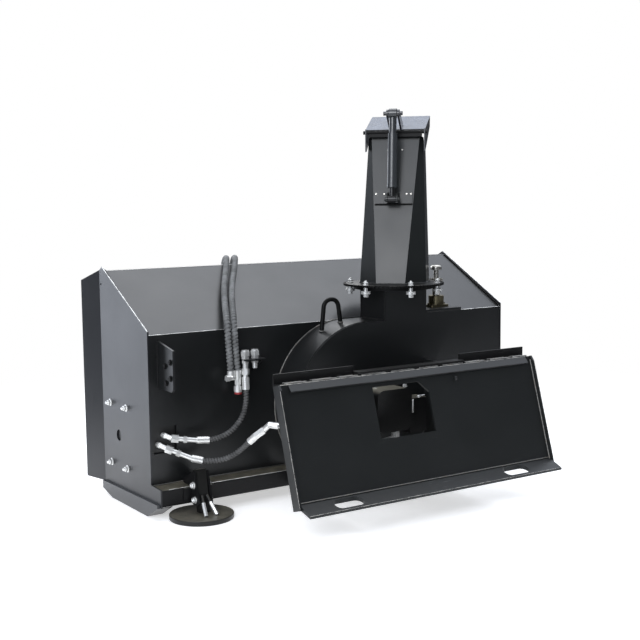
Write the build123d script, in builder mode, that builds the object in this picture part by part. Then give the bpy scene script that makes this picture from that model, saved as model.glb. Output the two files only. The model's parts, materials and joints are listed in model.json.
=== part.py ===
from build123d import *
import math
import os

# Two-stage snowblower attachment for a skid-steer loader.
# Frame: +X right as seen from behind (the loader's side), +Y forward to the auger mouth, +Z up.
# The origin is on the ground, under the middle of the whole attachment. Millimetres.

# ---- driving dimensions ------------------------------------------------------------------
HALF_WIDTH = 830          # outer face of each end plate
SHEET = 6                 # housing sheet
BACK_Y = 51               # rear face of the back plate
BACK_TOP_Z = 648          # fold between back plate and sloped top panel
ROOF_Y = 423              # front end of the slope
ROOF_Z = 857              # top of the housing
MOUTH_Y = 462             # front edge of the end plates, where the flares start
BROW_Y = 531              # front edge of the brow
BROW_Z = 828
FLARE_Y = 579             # front edge of the side flares
FLARE_OUT = 27            # how far a flare leans outward
FLARE_TOP_Z = 815
FLOOR_Z = 48              # top of the housing floor
RIM = 12                  # end plates stand proud of the slope by this much

AUGER_Y = 320
AUGER_Z = 248
AUGER_R = 195
SHAFT_R = 34

DRUM_Z = 340              # fan axis, at X = 0
DRUM_R = 311
DRUM_REAR_Y = -109        # rear face of the fan housing
INLET_R = 288             # hole in the back plate, housing to fan
FAN_R = 298

NECK_X0 = 92              # discharge neck, a square duct on the fan housing
NECK_X1 = 292
NECK_TOP_Z = 767
RING_X = (NECK_X0 + NECK_X1) / 2
RING_Y = (DRUM_REAR_Y + BACK_Y) / 2
FIXED_RING_R = 156
FIXED_RING_TOP_Z = 779
PLATE_Z = 780             # underside of the turning ring plate
PLATE_T = 8
GEAR_MODULE = 5
RING_TEETH = 77
PINION_TEETH = 9
BOLT_CIRCLE_R = 172
CHUTE_HEADING = 45        # degrees to the right of straight ahead, at rest

CHUTE_BASE_Z = PLATE_Z + PLATE_T
CHUTE_TOP_Z = 1357
CHUTE_WALL = 4
HINGE_F = 62              # hood hinge: forward of the ring's axis, and its height
HINGE_Z = 1373
HOOD_HALF = 118
LEVER_PIN_F = 0
LEVER_PIN_Z = 1442
LOWER_PIN_F = -40
LOWER_PIN_Z = 1113

MOUNT_TOP_Y = -401        # quick-attach plate: rear face, top edge
MOUNT_TOP_Z = 507
MOUNT_BOTTOM_Y = -521
MOUNT_BOTTOM_Z = 108
MOUNT_HALF = 565
MOUNT_T = 10
LIP_Y = -579              # rear edge of the lower lip
LIP_Z = 102
LIP_FOLD_Z = 128          # where the lower lip leaves the plate
HOOK_DEPTH = 30           # height of the strip that carries the upper hook

BEAM_Y = -26              # rear face of the bottom beam
BEAM_Z0 = 47
BEAM_Z1 = 109

HOSE_D = 20               # motor hoses
SUPPLY_D = 24             # supply hoses with their spiral guard

os.makedirs("parts", exist_ok=True)


def finish(piece, label):
    """Name a finished piece and write it."""
    piece.part.label = label
    export_step(piece.part, f"parts/{label}.step")


def outline(points, mode=Mode.ADD):
    """A closed straight-sided face, added to the sketch in hand."""
    Polygon(*points, align=None, mode=mode)


def xz_plane(y):
    """Plane of (x, z) points at y, facing backward."""
    return Plane.XZ.offset(-y)


# ---- housing sheets ----------------------------------------------------------------------
INNER_HALF = HALF_WIDTH - SHEET
ACCESS_X = -770           # access window to the auger motor's ports
ACCESS_Z = 270

with BuildPart() as back_plate:
    with BuildSketch(xz_plane(BACK_Y)):
        outline([(-INNER_HALF, FLOOR_Z), (INNER_HALF, FLOOR_Z),
                 (INNER_HALF, BACK_TOP_Z), (-INNER_HALF, BACK_TOP_Z)])
        with Locations((0, DRUM_Z)):
            Circle(INLET_R, mode=Mode.SUBTRACT)
        with Locations((ACCESS_X, ACCESS_Z)):
            Rectangle(92, 96, mode=Mode.SUBTRACT)
    extrude(amount=-SHEET)
finish(back_plate, "back_plate")

# Slope, short flat roof and brow, folded from one sheet.
with BuildPart() as top_panel:
    with BuildSketch(Plane.YZ.offset(-INNER_HALF)):
        outline([(BACK_Y, BACK_TOP_Z), (ROOF_Y, ROOF_Z), (MOUTH_Y, ROOF_Z), (BROW_Y, BROW_Z),
                 (BROW_Y - 3, BROW_Z - SHEET), (MOUTH_Y - 1, ROOF_Z - SHEET),
                 (ROOF_Y + 2, ROOF_Z - SHEET), (BACK_Y + SHEET, BACK_TOP_Z)])
    extrude(amount=2 * INNER_HALF)
finish(top_panel, "top_panel")


def end_plate(side):
    """End plate with its outward flare; side is -1 left, +1 right."""
    outer = side * HALF_WIDTH
    inner = side * INNER_HALF
    slope_rise = RIM * 1.15
    with BuildPart() as plate:
        with BuildSketch(Plane.YZ.offset(inner)):
            outline([(BEAM_Y - 2, BEAM_Z0 - 1), (BEAM_Y - 2, BEAM_Z1 + 2), (BACK_Y - 2, BEAM_Z1 + 5),
                     (BACK_Y - 2, BACK_TOP_Z + slope_rise), (ROOF_Y + 15, ROOF_Z + slope_rise),
                     (MOUTH_Y, ROOF_Z + 1), (MOUTH_Y, BEAM_Z0 - 1)])
            with Locations((MOUTH_Y - 14, 806)):
                Circle(5, mode=Mode.SUBTRACT)
            with Locations((AUGER_Y, AUGER_Z)):
                Circle(21 if side < 0 else SHAFT_R + 4, mode=Mode.SUBTRACT)
        extrude(amount=side * SHEET)
        with BuildSketch(Plane.XY.offset(BEAM_Z0 - 1)):
            outline([(inner, MOUTH_Y - 1), (outer, MOUTH_Y - 1), (outer + side * FLARE_OUT, FLARE_Y),
                     (inner + side * FLARE_OUT, FLARE_Y)])
        extrude(amount=ROOF_Z + 2 - BEAM_Z0)
        with BuildSketch(Plane.YZ.offset(inner)):
            outline([(MOUTH_Y, ROOF_Z + 1), (FLARE_Y + 1, FLARE_TOP_Z), (FLARE_Y + 1, ROOF_Z + 30),
                     (MOUTH_Y, ROOF_Z + 30)])
        extrude(amount=side * (SHEET + FLARE_OUT), mode=Mode.SUBTRACT)
    return plate


finish(end_plate(-1), "left_end_plate")
finish(end_plate(1), "right_end_plate")

with BuildPart() as floor_plate:
    with BuildSketch(Plane.XY.offset(FLOOR_Z - SHEET)):
        outline([(-INNER_HALF, BACK_Y), (INNER_HALF, BACK_Y), (INNER_HALF, 440), (-INNER_HALF, 440)])
    extrude(amount=SHEET)
finish(floor_plate, "floor_plate")

SHOE_W = 48               # wear bar of a skid shoe
EDGE_HALF = HALF_WIDTH - SHOE_W - 1
EDGE_T = 12
EDGE_Y0 = 350
EDGE_Y1 = 470
with BuildPart() as cutting_edge:
    with BuildSketch(Plane.YZ.offset(-EDGE_HALF)):
        outline([(EDGE_Y0, FLOOR_Z - SHEET), (EDGE_Y0, FLOOR_Z - SHEET - EDGE_T),
                 (EDGE_Y1, FLOOR_Z - SHEET - EDGE_T), (EDGE_Y1 - 14, FLOOR_Z - SHEET)])
    extrude(amount=2 * EDGE_HALF)
    # Nuts of the plough bolts that hold the edge.
    with BuildSketch(Plane.XY.offset(FLOOR_Z - SHEET - EDGE_T)):
        with Locations((0, 395)):
            with GridLocations(190, 0, 9, 1):
                RegularPolygon(11, 6)
    extrude(amount=-10)
finish(cutting_edge, "cutting_edge")


def rear_beam(x0, x1):
    """Square tube welded along the bottom of the back plate."""
    with BuildPart() as beam:
        with BuildSketch(Plane.YZ.offset(x0)):
            with Locations(((BEAM_Y + BACK_Y) / 2, (BEAM_Z0 + BEAM_Z1) / 2)):
                RectangleRounded(BACK_Y - BEAM_Y, BEAM_Z1 - BEAM_Z0, 6)
                RectangleRounded(BACK_Y - BEAM_Y - 12, BEAM_Z1 - BEAM_Z0 - 12, 3, mode=Mode.SUBTRACT)
        extrude(amount=x1 - x0)
    return beam


BEAM_INNER_X = 262
finish(rear_beam(-INNER_HALF, -BEAM_INNER_X), "left_rear_beam")
finish(rear_beam(BEAM_INNER_X, INNER_HALF), "right_rear_beam")


def skid_shoe(side):
    """Replaceable shoe under an end plate: a web on the outside and a wear bar below."""
    web = 12
    with BuildPart() as shoe:
        with BuildSketch(Plane.YZ.offset(side * HALF_WIDTH)):
            outline([(MOUTH_Y - 1, 21), (MOUTH_Y - 1, 50), (-22, 58), (-22, 45), (60, 0), (370, 0)])
        extrude(amount=side * web)
        with BuildSketch(Plane.YZ.offset(side * HALF_WIDTH)):
            outline([(478, 25), (474, 36), (367, 11), (63, 11), (-20, 46), (-22, 45), (60, 0), (370, 0)])
        extrude(amount=-side * SHOE_W)
    return shoe


finish(skid_shoe(-1), "left_skid_shoe")
finish(skid_shoe(1), "right_skid_shoe")

# ---- fan housing, neck and fixed ring ----------------------------------------------------
DRUM_PLATE_T = 6
ROOF_OF_DRUM_Z = DRUM_Z + DRUM_R

with BuildPart() as fan_drum_wrap:
    with BuildSketch(xz_plane(DRUM_REAR_Y + DRUM_PLATE_T)):
        with Locations((0, DRUM_Z)):
            Circle(DRUM_R)
        outline([(0, DRUM_Z), (NECK_X1, DRUM_Z), (NECK_X1, ROOF_OF_DRUM_Z), (0, ROOF_OF_DRUM_Z)])
        with Locations((0, DRUM_Z)):
            Circle(DRUM_R - SHEET, mode=Mode.SUBTRACT)
        outline([(0, DRUM_Z), (NECK_X1 - SHEET, DRUM_Z), (NECK_X1 - SHEET, ROOF_OF_DRUM_Z + 1),
                 (NECK_X0 + SHEET, ROOF_OF_DRUM_Z + 1), (NECK_X0 + SHEET, ROOF_OF_DRUM_Z - SHEET),
                 (0, ROOF_OF_DRUM_Z - SHEET)], mode=Mode.SUBTRACT)
    extrude(amount=-(BACK_Y - DRUM_REAR_Y - DRUM_PLATE_T))
finish(fan_drum_wrap, "fan_drum_wrap")

BRACKET_X1 = 470          # outer corner of the chute-drive bracket
BRACKET_Z = 672
BRACKET_T = 8
with BuildPart() as fan_rear_plate:
    with BuildSketch(xz_plane(DRUM_REAR_Y)):
        with Locations((0, DRUM_Z)):
            Circle(DRUM_R)
        outline([(0, DRUM_Z), (NECK_X1, DRUM_Z), (NECK_X1, NECK_TOP_Z), (NECK_X0, NECK_TOP_Z),
                 (NECK_X0, ROOF_OF_DRUM_Z), (0, ROOF_OF_DRUM_Z)])
        outline([(NECK_X1 - 20, BRACKET_Z), (BRACKET_X1, BRACKET_Z), (BRACKET_X1, BRACKET_Z - 8),
                 (400, 572), (352, 500), (306, 390), (NECK_X1 - 40, 380)])
        with Locations((0, DRUM_Z)):
            Circle(26, mode=Mode.SUBTRACT)
    extrude(amount=-DRUM_PLATE_T)
finish(fan_rear_plate, "fan_rear_plate")

# Neck: left, front and right walls; the fan's rear plate is its fourth wall.
with BuildPart() as chute_neck:
    with BuildSketch(Plane.XY.offset(ROOF_OF_DRUM_Z)):
        outline([(NECK_X0, DRUM_REAR_Y + DRUM_PLATE_T), (NECK_X0 + SHEET, DRUM_REAR_Y + DRUM_PLATE_T),
                 (NECK_X0 + SHEET, BACK_Y - SHEET), (NECK_X1 - SHEET, BACK_Y - SHEET),
                 (NECK_X1 - SHEET, DRUM_REAR_Y + DRUM_PLATE_T), (NECK_X1, DRUM_REAR_Y + DRUM_PLATE_T),
                 (NECK_X1, BACK_Y), (NECK_X0, BACK_Y)])
    extrude(amount=NECK_TOP_Z - ROOF_OF_DRUM_Z)
finish(chute_neck, "chute_neck")

with BuildPart() as neck_ring:
    with BuildSketch(Plane.XY.offset(NECK_TOP_Z)):
        with Locations((RING_X, RING_Y)):
            Circle(FIXED_RING_R)
            Rectangle(NECK_X1 - NECK_X0 - 2 * SHEET, BACK_Y - DRUM_REAR_Y - 2 * SHEET, mode=Mode.SUBTRACT)
    extrude(amount=FIXED_RING_TOP_Z - NECK_TOP_Z)
finish(neck_ring, "neck_ring")

# Lifting eye: a bent bar welded on the roof of the fan housing.
EYE_X = -96
EYE_Y = -15
EYE_FOOT = 86             # spread of the legs where they meet the drum, and of the arch
EYE_SPAN = 60
EYE_BEND_R = 32
EYE_ROD_R = 8.5
EYE_TOP_Z = 746
with BuildPart() as lifting_eye:
    eye_z = EYE_TOP_Z - EYE_ROD_R
    left_x = EYE_X - EYE_FOOT / 2
    right_x = EYE_X + EYE_FOOT / 2
    with BuildLine() as eye_path:
        FilletPolyline((left_x, EYE_Y, DRUM_Z + math.sqrt(DRUM_R**2 - left_x**2) + 2),
                       (EYE_X - EYE_SPAN / 2, EYE_Y, eye_z),
                       (EYE_X + EYE_SPAN / 2, EYE_Y, eye_z),
                       (right_x, EYE_Y, DRUM_Z + math.sqrt(DRUM_R**2 - right_x**2) + 2), radius=EYE_BEND_R)
    with BuildSketch(Plane(origin=eye_path.line @ 0, z_dir=eye_path.line % 0)):
        Circle(EYE_ROD_R)
    sweep()
    with BuildSketch(xz_plane(DRUM_REAR_Y)):
        with Locations((0, DRUM_Z)):
            Circle(DRUM_R)
    extrude(amount=-(BACK_Y - DRUM_REAR_Y), mode=Mode.SUBTRACT)
finish(lifting_eye, "lifting_eye")

# ---- chute drive bracket and motor -------------------------------------------------------
RING_PITCH_R = GEAR_MODULE * RING_TEETH / 2
PINION_PITCH_R = GEAR_MODULE * PINION_TEETH / 2
PINION_X = RING_X + RING_PITCH_R + PINION_PITCH_R
with BuildPart() as drive_bracket:
    with BuildSketch(Plane.XY.offset(BRACKET_Z)):
        outline([(NECK_X1, DRUM_REAR_Y), (BRACKET_X1, DRUM_REAR_Y), (BRACKET_X1, RING_Y + 40),
                 (BRACKET_X1 - 40, BACK_Y), (NECK_X1, BACK_Y)])
    extrude(amount=BRACKET_T)
finish(drive_bracket, "drive_bracket")

MOTOR_TOP_Z = 725
with BuildPart() as chute_motor:
    with BuildSketch(Plane.XY.offset(BRACKET_Z + BRACKET_T)):
        with Locations((PINION_X, RING_Y)):
            RectangleRounded(92, 60, 12)
    extrude(amount=9)
    with BuildSketch(Plane.XY.offset(BRACKET_Z + BRACKET_T + 9)):
        with Locations((PINION_X, RING_Y)):
            Circle(31)
    extrude(amount=MOTOR_TOP_Z - BRACKET_Z - BRACKET_T - 9)
    with Locations((PINION_X, RING_Y, MOTOR_TOP_Z)):
        Cylinder(9.06, 60, mode=Mode.SUBTRACT)
    with BuildSketch(Plane.XY.offset(BRACKET_Z + BRACKET_T + 9)):
        with Locations((PINION_X - 38.5, RING_Y), (PINION_X + 38.5, RING_Y)):
            RegularPolygon(6, 6)
    extrude(amount=7)
finish(chute_motor, "chute_motor")


def gear_outline(teeth, pitch_r, tip_half, root_half, addendum, dedendum, phase_deg):
    """Points of a straight-flanked gear; half widths are in millimetres at tip and root."""
    tip_r = pitch_r + addendum
    root_r = pitch_r - dedendum
    points = []
    for tooth in range(teeth):
        middle = math.radians(phase_deg) + 2 * math.pi * tooth / teeth
        for radius, half in ((root_r, -root_half), (tip_r, -tip_half), (tip_r, tip_half),
                             (root_r, root_half)):
            angle = middle + half / radius
            points.append((radius * math.cos(angle), radius * math.sin(angle)))
    return points


# Pinion: toothed wheel at the ring's height, on a tall shaft that ends in a domed cap.
GEAR_ADDENDUM = 4
GEAR_DEDENDUM = 5.2
with BuildPart() as chute_pinion:
    with BuildSketch(Plane.XY.offset(PLATE_Z - 6)):
        with Locations((PINION_X, RING_Y)):
            outline(gear_outline(PINION_TEETH, PINION_PITCH_R, 1.3, 3.2, GEAR_ADDENDUM, GEAR_DEDENDUM,
                                 180 + 180 / PINION_TEETH))
    extrude(amount=PLATE_T + 12)
    for z0, height, radius in ((MOTOR_TOP_Z + 1, PLATE_Z - 7 - MOTOR_TOP_Z, 16), (PLATE_Z + 14, 36, 10),
                               (MOTOR_TOP_Z - 28, 29, 9)):
        with BuildSketch(Plane.XY.offset(z0)):
            with Locations((PINION_X, RING_Y)):
                Circle(radius)
        extrude(amount=height)
    with BuildSketch(Plane.XY.offset(PLATE_Z + 49)):
        with Locations((PINION_X, RING_Y)):
            Circle(22)
    extrude(amount=18)
    fillet(chute_pinion.edges().sort_by(Axis.Z)[-1], radius=10)
finish(chute_pinion, "chute_pinion")

# ---- turning chute -----------------------------------------------------------------------
heading = math.radians(CHUTE_HEADING)
FORWARD = (math.sin(heading), math.cos(heading), 0)
ACROSS = (math.cos(heading), -math.sin(heading), 0)


def chute_level(z):
    """Plane at height z with x across the chute and y along its discharge direction."""
    return Plane(origin=(RING_X, RING_Y, z), x_dir=ACROSS, z_dir=(0, 0, 1))


def chute_side(across):
    """Upright plane whose local x is the discharge direction and y is height."""
    origin = (RING_X + across * ACROSS[0], RING_Y + across * ACROSS[1], 0)
    return Plane(origin=origin, x_dir=FORWARD, z_dir=ACROSS)


# Back panel, two chamfer facets and two side panels: (across, forward) at base and top.
CHUTE_BASE = [(-56, -87), (56, -87), (130, -20), (130, 95), (-130, 95), (-130, -20)]
CHUTE_TOP = [(-95, 75), (95, 75), (108, 89), (108, 155), (-108, 155), (-108, 89)]
FRONT_OPEN = 30
RING_TIP_R = RING_PITCH_R + GEAR_ADDENDUM


def opened(points):
    """The same outline with its front edge pushed forward, so that the front is open."""
    return [(x, y + FRONT_OPEN) if y == max(p[1] for p in points) else (x, y) for x, y in points]


with BuildPart() as chute_ring:
    with BuildSketch(chute_level(PLATE_Z)):
        outline(gear_outline(RING_TEETH, RING_PITCH_R, 1.5, 3.4, GEAR_ADDENDUM, GEAR_DEDENDUM, CHUTE_HEADING))
        outline([(-50, -81), (50, -81), (124, -14), (124, 80), (-124, 80), (-124, -14)],
                mode=Mode.SUBTRACT)
        with PolarLocations(BOLT_CIRCLE_R, 6):
            Circle(8.3, mode=Mode.SUBTRACT)
    extrude(amount=PLATE_T)
finish(chute_ring, "chute_ring")

# Six keeper bolts: head above the ring plate, sleeve below, and a roller under the fixed ring.
ROLLER_TOP_Z = NECK_TOP_Z - 1
with BuildPart() as ring_keepers:
    with BuildSketch(chute_level(PLATE_Z + PLATE_T)):
        with PolarLocations(BOLT_CIRCLE_R, 6):
            RegularPolygon(10.5, 6)
    extrude(amount=11)
    with BuildSketch(chute_level(ROLLER_TOP_Z - 16)):
        with PolarLocations(BOLT_CIRCLE_R, 6):
            Circle(8)
    extrude(amount=PLATE_Z + PLATE_T - ROLLER_TOP_Z + 16)
    with BuildSketch(chute_level(ROLLER_TOP_Z - 12)):
        with PolarLocations(BOLT_CIRCLE_R, 6):
            Circle(19)
    extrude(amount=12)
finish(ring_keepers, "ring_keepers")

with BuildPart() as chute_shell:
    with BuildSketch(chute_level(CHUTE_BASE_Z)):
        outline(CHUTE_BASE)
    with BuildSketch(chute_level(CHUTE_TOP_Z)):
        outline(CHUTE_TOP)
    loft()
    with BuildSketch(chute_level(CHUTE_BASE_Z)):
        outline(opened(CHUTE_BASE))
        offset(amount=-CHUTE_WALL, kind=Kind.INTERSECTION)
    with BuildSketch(chute_level(CHUTE_TOP_Z)):
        outline(opened(CHUTE_TOP))
        offset(amount=-CHUTE_WALL, kind=Kind.INTERSECTION)
    loft(mode=Mode.SUBTRACT)
    # The side panels' top edges fall away forward, to leave room for the hood.
    with BuildSketch(chute_side(-HOOD_HALF)):
        outline([(82, CHUTE_TOP_Z), (170, CHUTE_TOP_Z - 62), (170, CHUTE_TOP_Z + 5), (82, CHUTE_TOP_Z + 5)])
    extrude(amount=2 * HOOD_HALF, mode=Mode.SUBTRACT)
finish(chute_shell, "chute_shell")


def panel_f(z):
    """Forward place of the back panel's outer face at height z."""
    share = (z - CHUTE_BASE_Z) / (CHUTE_TOP_Z - CHUTE_BASE_Z)
    return CHUTE_BASE[0][1] + share * (CHUTE_TOP[0][1] - CHUTE_BASE[0][1])


# Hinge rod of the hood, on a bar along the top edge of the back panel.
HINGE_R = 7
ROD_HALF = HOOD_HALF + 8
with BuildPart() as hood_hinge_rod:
    with BuildSketch(chute_side(-ROD_HALF)):
        with Locations((HINGE_F, HINGE_Z)):
            Circle(HINGE_R)
    extrude(amount=2 * ROD_HALF)
    with BuildSketch(chute_side(-104)):
        outline([(56, CHUTE_TOP_Z - 2), (79, CHUTE_TOP_Z), (79, CHUTE_TOP_Z + 8), (66, HINGE_Z - 2),
                 (58, HINGE_Z - 2)])
    extrude(amount=208)
    with BuildSketch(chute_side(-104)):
        outline([(0, 1200), (panel_f(1200), 1200), (CHUTE_TOP[0][1], CHUTE_TOP_Z), (120, CHUTE_TOP_Z),
                 (120, 1200)])
    extrude(amount=208, mode=Mode.SUBTRACT)
finish(hood_hinge_rod, "hood_hinge_rod")

# Lower bracket of the hood cylinder: a bar across the back panel, two ears and the fixed pin.
PIN_R = 8
EAR_IN = 16
EAR_OUT = 23
with BuildPart() as cylinder_bracket:
    with BuildSketch(chute_side(-74)):
        outline([(panel_f(1096) - 6, 1096), (panel_f(1096), 1096), (panel_f(1142), 1142),
                 (panel_f(1142) - 6, 1142)])
    extrude(amount=148)
    for start in (-EAR_OUT, EAR_IN):
        with BuildSketch(chute_side(start)):
            outline([(LOWER_PIN_F - 9, LOWER_PIN_Z - 13), (panel_f(1096) - 5, 1098),
                     (panel_f(1140) - 5, 1140), (LOWER_PIN_F - 3, LOWER_PIN_Z + 14)])
            with Locations((LOWER_PIN_F, LOWER_PIN_Z)):
                Circle(14)
        extrude(amount=EAR_OUT - EAR_IN)
    with BuildSketch(chute_side(-74)):
        outline([(panel_f(1096) - 11, 1096), (panel_f(1096), 1096), (panel_f(1101), 1101),
                 (panel_f(1101) - 11, 1101)])
    extrude(amount=148)
    with BuildSketch(chute_side(-EAR_OUT - 5)):
        with Locations((LOWER_PIN_F, LOWER_PIN_Z)):
            Circle(PIN_R)
    extrude(amount=2 * EAR_OUT + 10)
finish(cylinder_bracket, "cylinder_bracket")

# ---- hood --------------------------------------------------------------------------------
HOOD_T = 4
HOOD_END_F = 242
HOOD_END_Z = 1446
EYE_HALF = 15             # half width of the barrel's top eye
LEVER_IN = 18
LEVER_OUT = 25
with BuildPart() as hood:
    with BuildSketch(chute_side(-HOOD_HALF)):
        outline([(60, 1384), (HOOD_END_F, HOOD_END_Z), (HOOD_END_F + 1, HOOD_END_Z - HOOD_T),
                 (61, 1384 - HOOD_T)])
    extrude(amount=2 * HOOD_HALF)
    for start in (-HOOD_HALF, HOOD_HALF - HOOD_T):
        with BuildSketch(chute_side(start)):
            outline([(54, 1386), (54, 1298), (64, 1298), (127, 1333), (236, 1403), (HOOD_END_F, HOOD_END_Z),
                     (60, 1384)])
            with Locations((HINGE_F, HINGE_Z)):
                Circle(HINGE_R + 0.05, mode=Mode.SUBTRACT)
        extrude(amount=HOOD_T)
    for start in (-LEVER_OUT, LEVER_IN):
        with BuildSketch(chute_side(start)):
            outline([(LEVER_PIN_F - 6, LEVER_PIN_Z + 14), (LEVER_PIN_F + 10, LEVER_PIN_Z + 12), (118, 1404),
                     (118, 1402), (66, 1385), (LEVER_PIN_F - 4, LEVER_PIN_Z - 14)])
            with Locations((LEVER_PIN_F, LEVER_PIN_Z)):
                Circle(15)
        extrude(amount=LEVER_OUT - LEVER_IN)
    with BuildSketch(chute_side(-LEVER_OUT - 12)):
        with Locations((LEVER_PIN_F, LEVER_PIN_Z)):
            Circle(PIN_R)
    extrude(amount=2 * LEVER_OUT + 24)
finish(hood, "hood")

# ---- hood cylinder -----------------------------------------------------------------------
cyl_run = math.hypot(LEVER_PIN_F - LOWER_PIN_F, LEVER_PIN_Z - LOWER_PIN_Z)
CYL_AXIS = tuple(((LEVER_PIN_F - LOWER_PIN_F) * FORWARD[i] + (LEVER_PIN_Z - LOWER_PIN_Z) * (i == 2)) / cyl_run
                 for i in range(3))
LOWER_PIN = (RING_X + LOWER_PIN_F * FORWARD[0], RING_Y + LOWER_PIN_F * FORWARD[1], LOWER_PIN_Z)


def along_cylinder(distance):
    """Plane square to the cylinder at this distance above its lower pin."""
    origin = tuple(LOWER_PIN[i] + distance * CYL_AXIS[i] for i in range(3))
    return Plane(origin=origin, x_dir=ACROSS, z_dir=CYL_AXIS)


ROD_R = 9
GLAND_AT = 44
BORE_R = 13
with BuildPart() as cylinder_rod:
    with BuildSketch(chute_side(-14)):
        with Locations((LOWER_PIN_F, LOWER_PIN_Z)):
            Circle(14)
    extrude(amount=28)
    with BuildSketch(along_cylinder(0)):
        Circle(ROD_R)
    extrude(amount=215)
    with BuildSketch(along_cylinder(200)):
        Circle(BORE_R - 0.06)
    extrude(amount=16)
    with BuildSketch(chute_side(-15)):
        with Locations((LOWER_PIN_F, LOWER_PIN_Z)):
            Circle(PIN_R + 0.06)
    extrude(amount=30, mode=Mode.SUBTRACT)
finish(cylinder_rod, "cylinder_rod")

with BuildPart() as cylinder_barrel:
    for start, length, radius in ((GLAND_AT, 14, 20.5), (GLAND_AT + 14, 196, 19), (GLAND_AT + 210, 60, 14.5)):
        with BuildSketch(along_cylinder(start)):
            Circle(radius)
        extrude(amount=length)
    with BuildSketch(chute_side(-EYE_HALF)):
        with Locations((LEVER_PIN_F, LEVER_PIN_Z)):
            Circle(18.5)
    extrude(amount=2 * EYE_HALF)
    with BuildSketch(along_cylinder(GLAND_AT - 1)):
        Circle(ROD_R + 0.06)
    extrude(amount=30, mode=Mode.SUBTRACT)
    with BuildSketch(along_cylinder(GLAND_AT + 14)):
        Circle(BORE_R)
    extrude(amount=186, mode=Mode.SUBTRACT)
    with BuildSketch(chute_side(-EYE_HALF - 1)):
        with Locations((LEVER_PIN_F, LEVER_PIN_Z)):
            Circle(PIN_R + 4.6)
    extrude(amount=2 * EYE_HALF + 2, mode=Mode.SUBTRACT)
finish(cylinder_barrel, "cylinder_barrel")

# ---- auger -------------------------------------------------------------------------------
RIBBON_IN = 118
RIBBON_T = 8
AUGER_PITCH = 360
FLIGHT_START = 120
FLIGHT_END = 705
AUGER_X0 = -714
AUGER_X1 = 852


def flight(side):
    """Ribbon flight from near the middle out to one end, with the flat arms that carry it."""
    centre = Vector(side * FLIGHT_START, AUGER_Y, AUGER_Z)
    ribbon_mid = (RIBBON_IN + AUGER_R) / 2
    with BuildPart() as ribbon:
        with BuildLine() as path:
            Helix(pitch=AUGER_PITCH, height=FLIGHT_END - FLIGHT_START, radius=ribbon_mid, center=centre,
                  direction=(side, 0, 0), lefthand=side > 0)
        with BuildSketch(Plane(origin=path.line @ 0, x_dir=(path.line @ 0) - centre, z_dir=path.line % 0)):
            Rectangle(AUGER_R - RIBBON_IN, RIBBON_T)
        sweep(is_frenet=True)
        for share in (0.02, 0.26, 0.5, 0.74, 0.97):
            tip = path.line @ share
            root = Vector(tip.X, AUGER_Y, AUGER_Z)
            with BuildSketch(Plane(origin=root, x_dir=(1, 0, 0), z_dir=tip - root)):
                Rectangle(12, 44)
            extrude(amount=RIBBON_IN + 8)
        with BuildSketch(Plane.YZ.offset(-HALF_WIDTH)):
            with Locations((AUGER_Y, AUGER_Z)):
                Circle(SHAFT_R)
        extrude(amount=2 * HALF_WIDTH, mode=Mode.SUBTRACT)
    return ribbon


finish(flight(-1), "auger_flight_left")
finish(flight(1), "auger_flight_right")

with BuildPart() as auger_shaft:
    with BuildSketch(Plane.YZ.offset(AUGER_X0)):
        with Locations((AUGER_Y, AUGER_Z)):
            Circle(SHAFT_R)
    extrude(amount=AUGER_X1 - AUGER_X0)
    with BuildSketch(Plane.YZ.offset(AUGER_X0)):
        with Locations((AUGER_Y, AUGER_Z)):
            Circle(20.06)
    extrude(amount=57, mode=Mode.SUBTRACT)
finish(auger_shaft, "auger_shaft")

# Two paddles in the middle feed the fan.
PADDLE_HALF = 96
with BuildPart() as auger_paddles:
    with BuildSketch(Plane.YZ.offset(-PADDLE_HALF)):
        with Locations((AUGER_Y, AUGER_Z)):
            Rectangle(10, 2 * AUGER_R - 8)
            Circle(SHAFT_R, mode=Mode.SUBTRACT)
    extrude(amount=2 * PADDLE_HALF)
finish(auger_paddles, "auger_paddles")

# The auger's motor sits inside the left end plate; its spigot turns the shaft.
MOTOR_IN_X = AUGER_X0 - 1
SPIGOT_R = 20
BOLT_DY = 72
BOLT_DZ = 114
with BuildPart() as auger_motor:
    with BuildSketch(Plane.YZ.offset(-INNER_HALF)):
        with Locations((AUGER_Y, AUGER_Z)):
            RectangleRounded(2 * BOLT_DY + 34, 2 * BOLT_DZ + 34, 14)
    extrude(amount=12)
    with BuildSketch(Plane.YZ.offset(-INNER_HALF)):
        with Locations((AUGER_Y, AUGER_Z)):
            Circle(62)
    extrude(amount=INNER_HALF + MOTOR_IN_X)
    with BuildSketch(Plane.YZ.offset(MOTOR_IN_X)):
        with Locations((AUGER_Y, AUGER_Z)):
            Circle(SPIGOT_R)
    extrude(amount=56)
    with BuildSketch(Plane.YZ.offset(-820)):
        outline([(62, 216), (265, 216), (265, 320), (62, 320)])
    extrude(amount=104)
finish(auger_motor, "auger_motor")

with BuildPart() as auger_motor_bolts:
    with BuildSketch(Plane.YZ.offset(-HALF_WIDTH)):
        with Locations((AUGER_Y, AUGER_Z)):
            with GridLocations(2 * BOLT_DY, 2 * BOLT_DZ, 2, 2):
                Circle(14)
    extrude(amount=-3)
    with BuildSketch(Plane.YZ.offset(-HALF_WIDTH - 3)):
        with Locations((AUGER_Y, AUGER_Z)):
            with GridLocations(2 * BOLT_DY, 2 * BOLT_DZ, 2, 2):
                RegularPolygon(11.5, 6)
    extrude(amount=-9)
    with BuildSketch(Plane.YZ.offset(-HALF_WIDTH - 12)):
        with Locations((AUGER_Y, AUGER_Z)):
            with GridLocations(2 * BOLT_DY, 2 * BOLT_DZ, 2, 2):
                Circle(6)
    extrude(amount=-8)
finish(auger_motor_bolts, "auger_motor_bolts")

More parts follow.
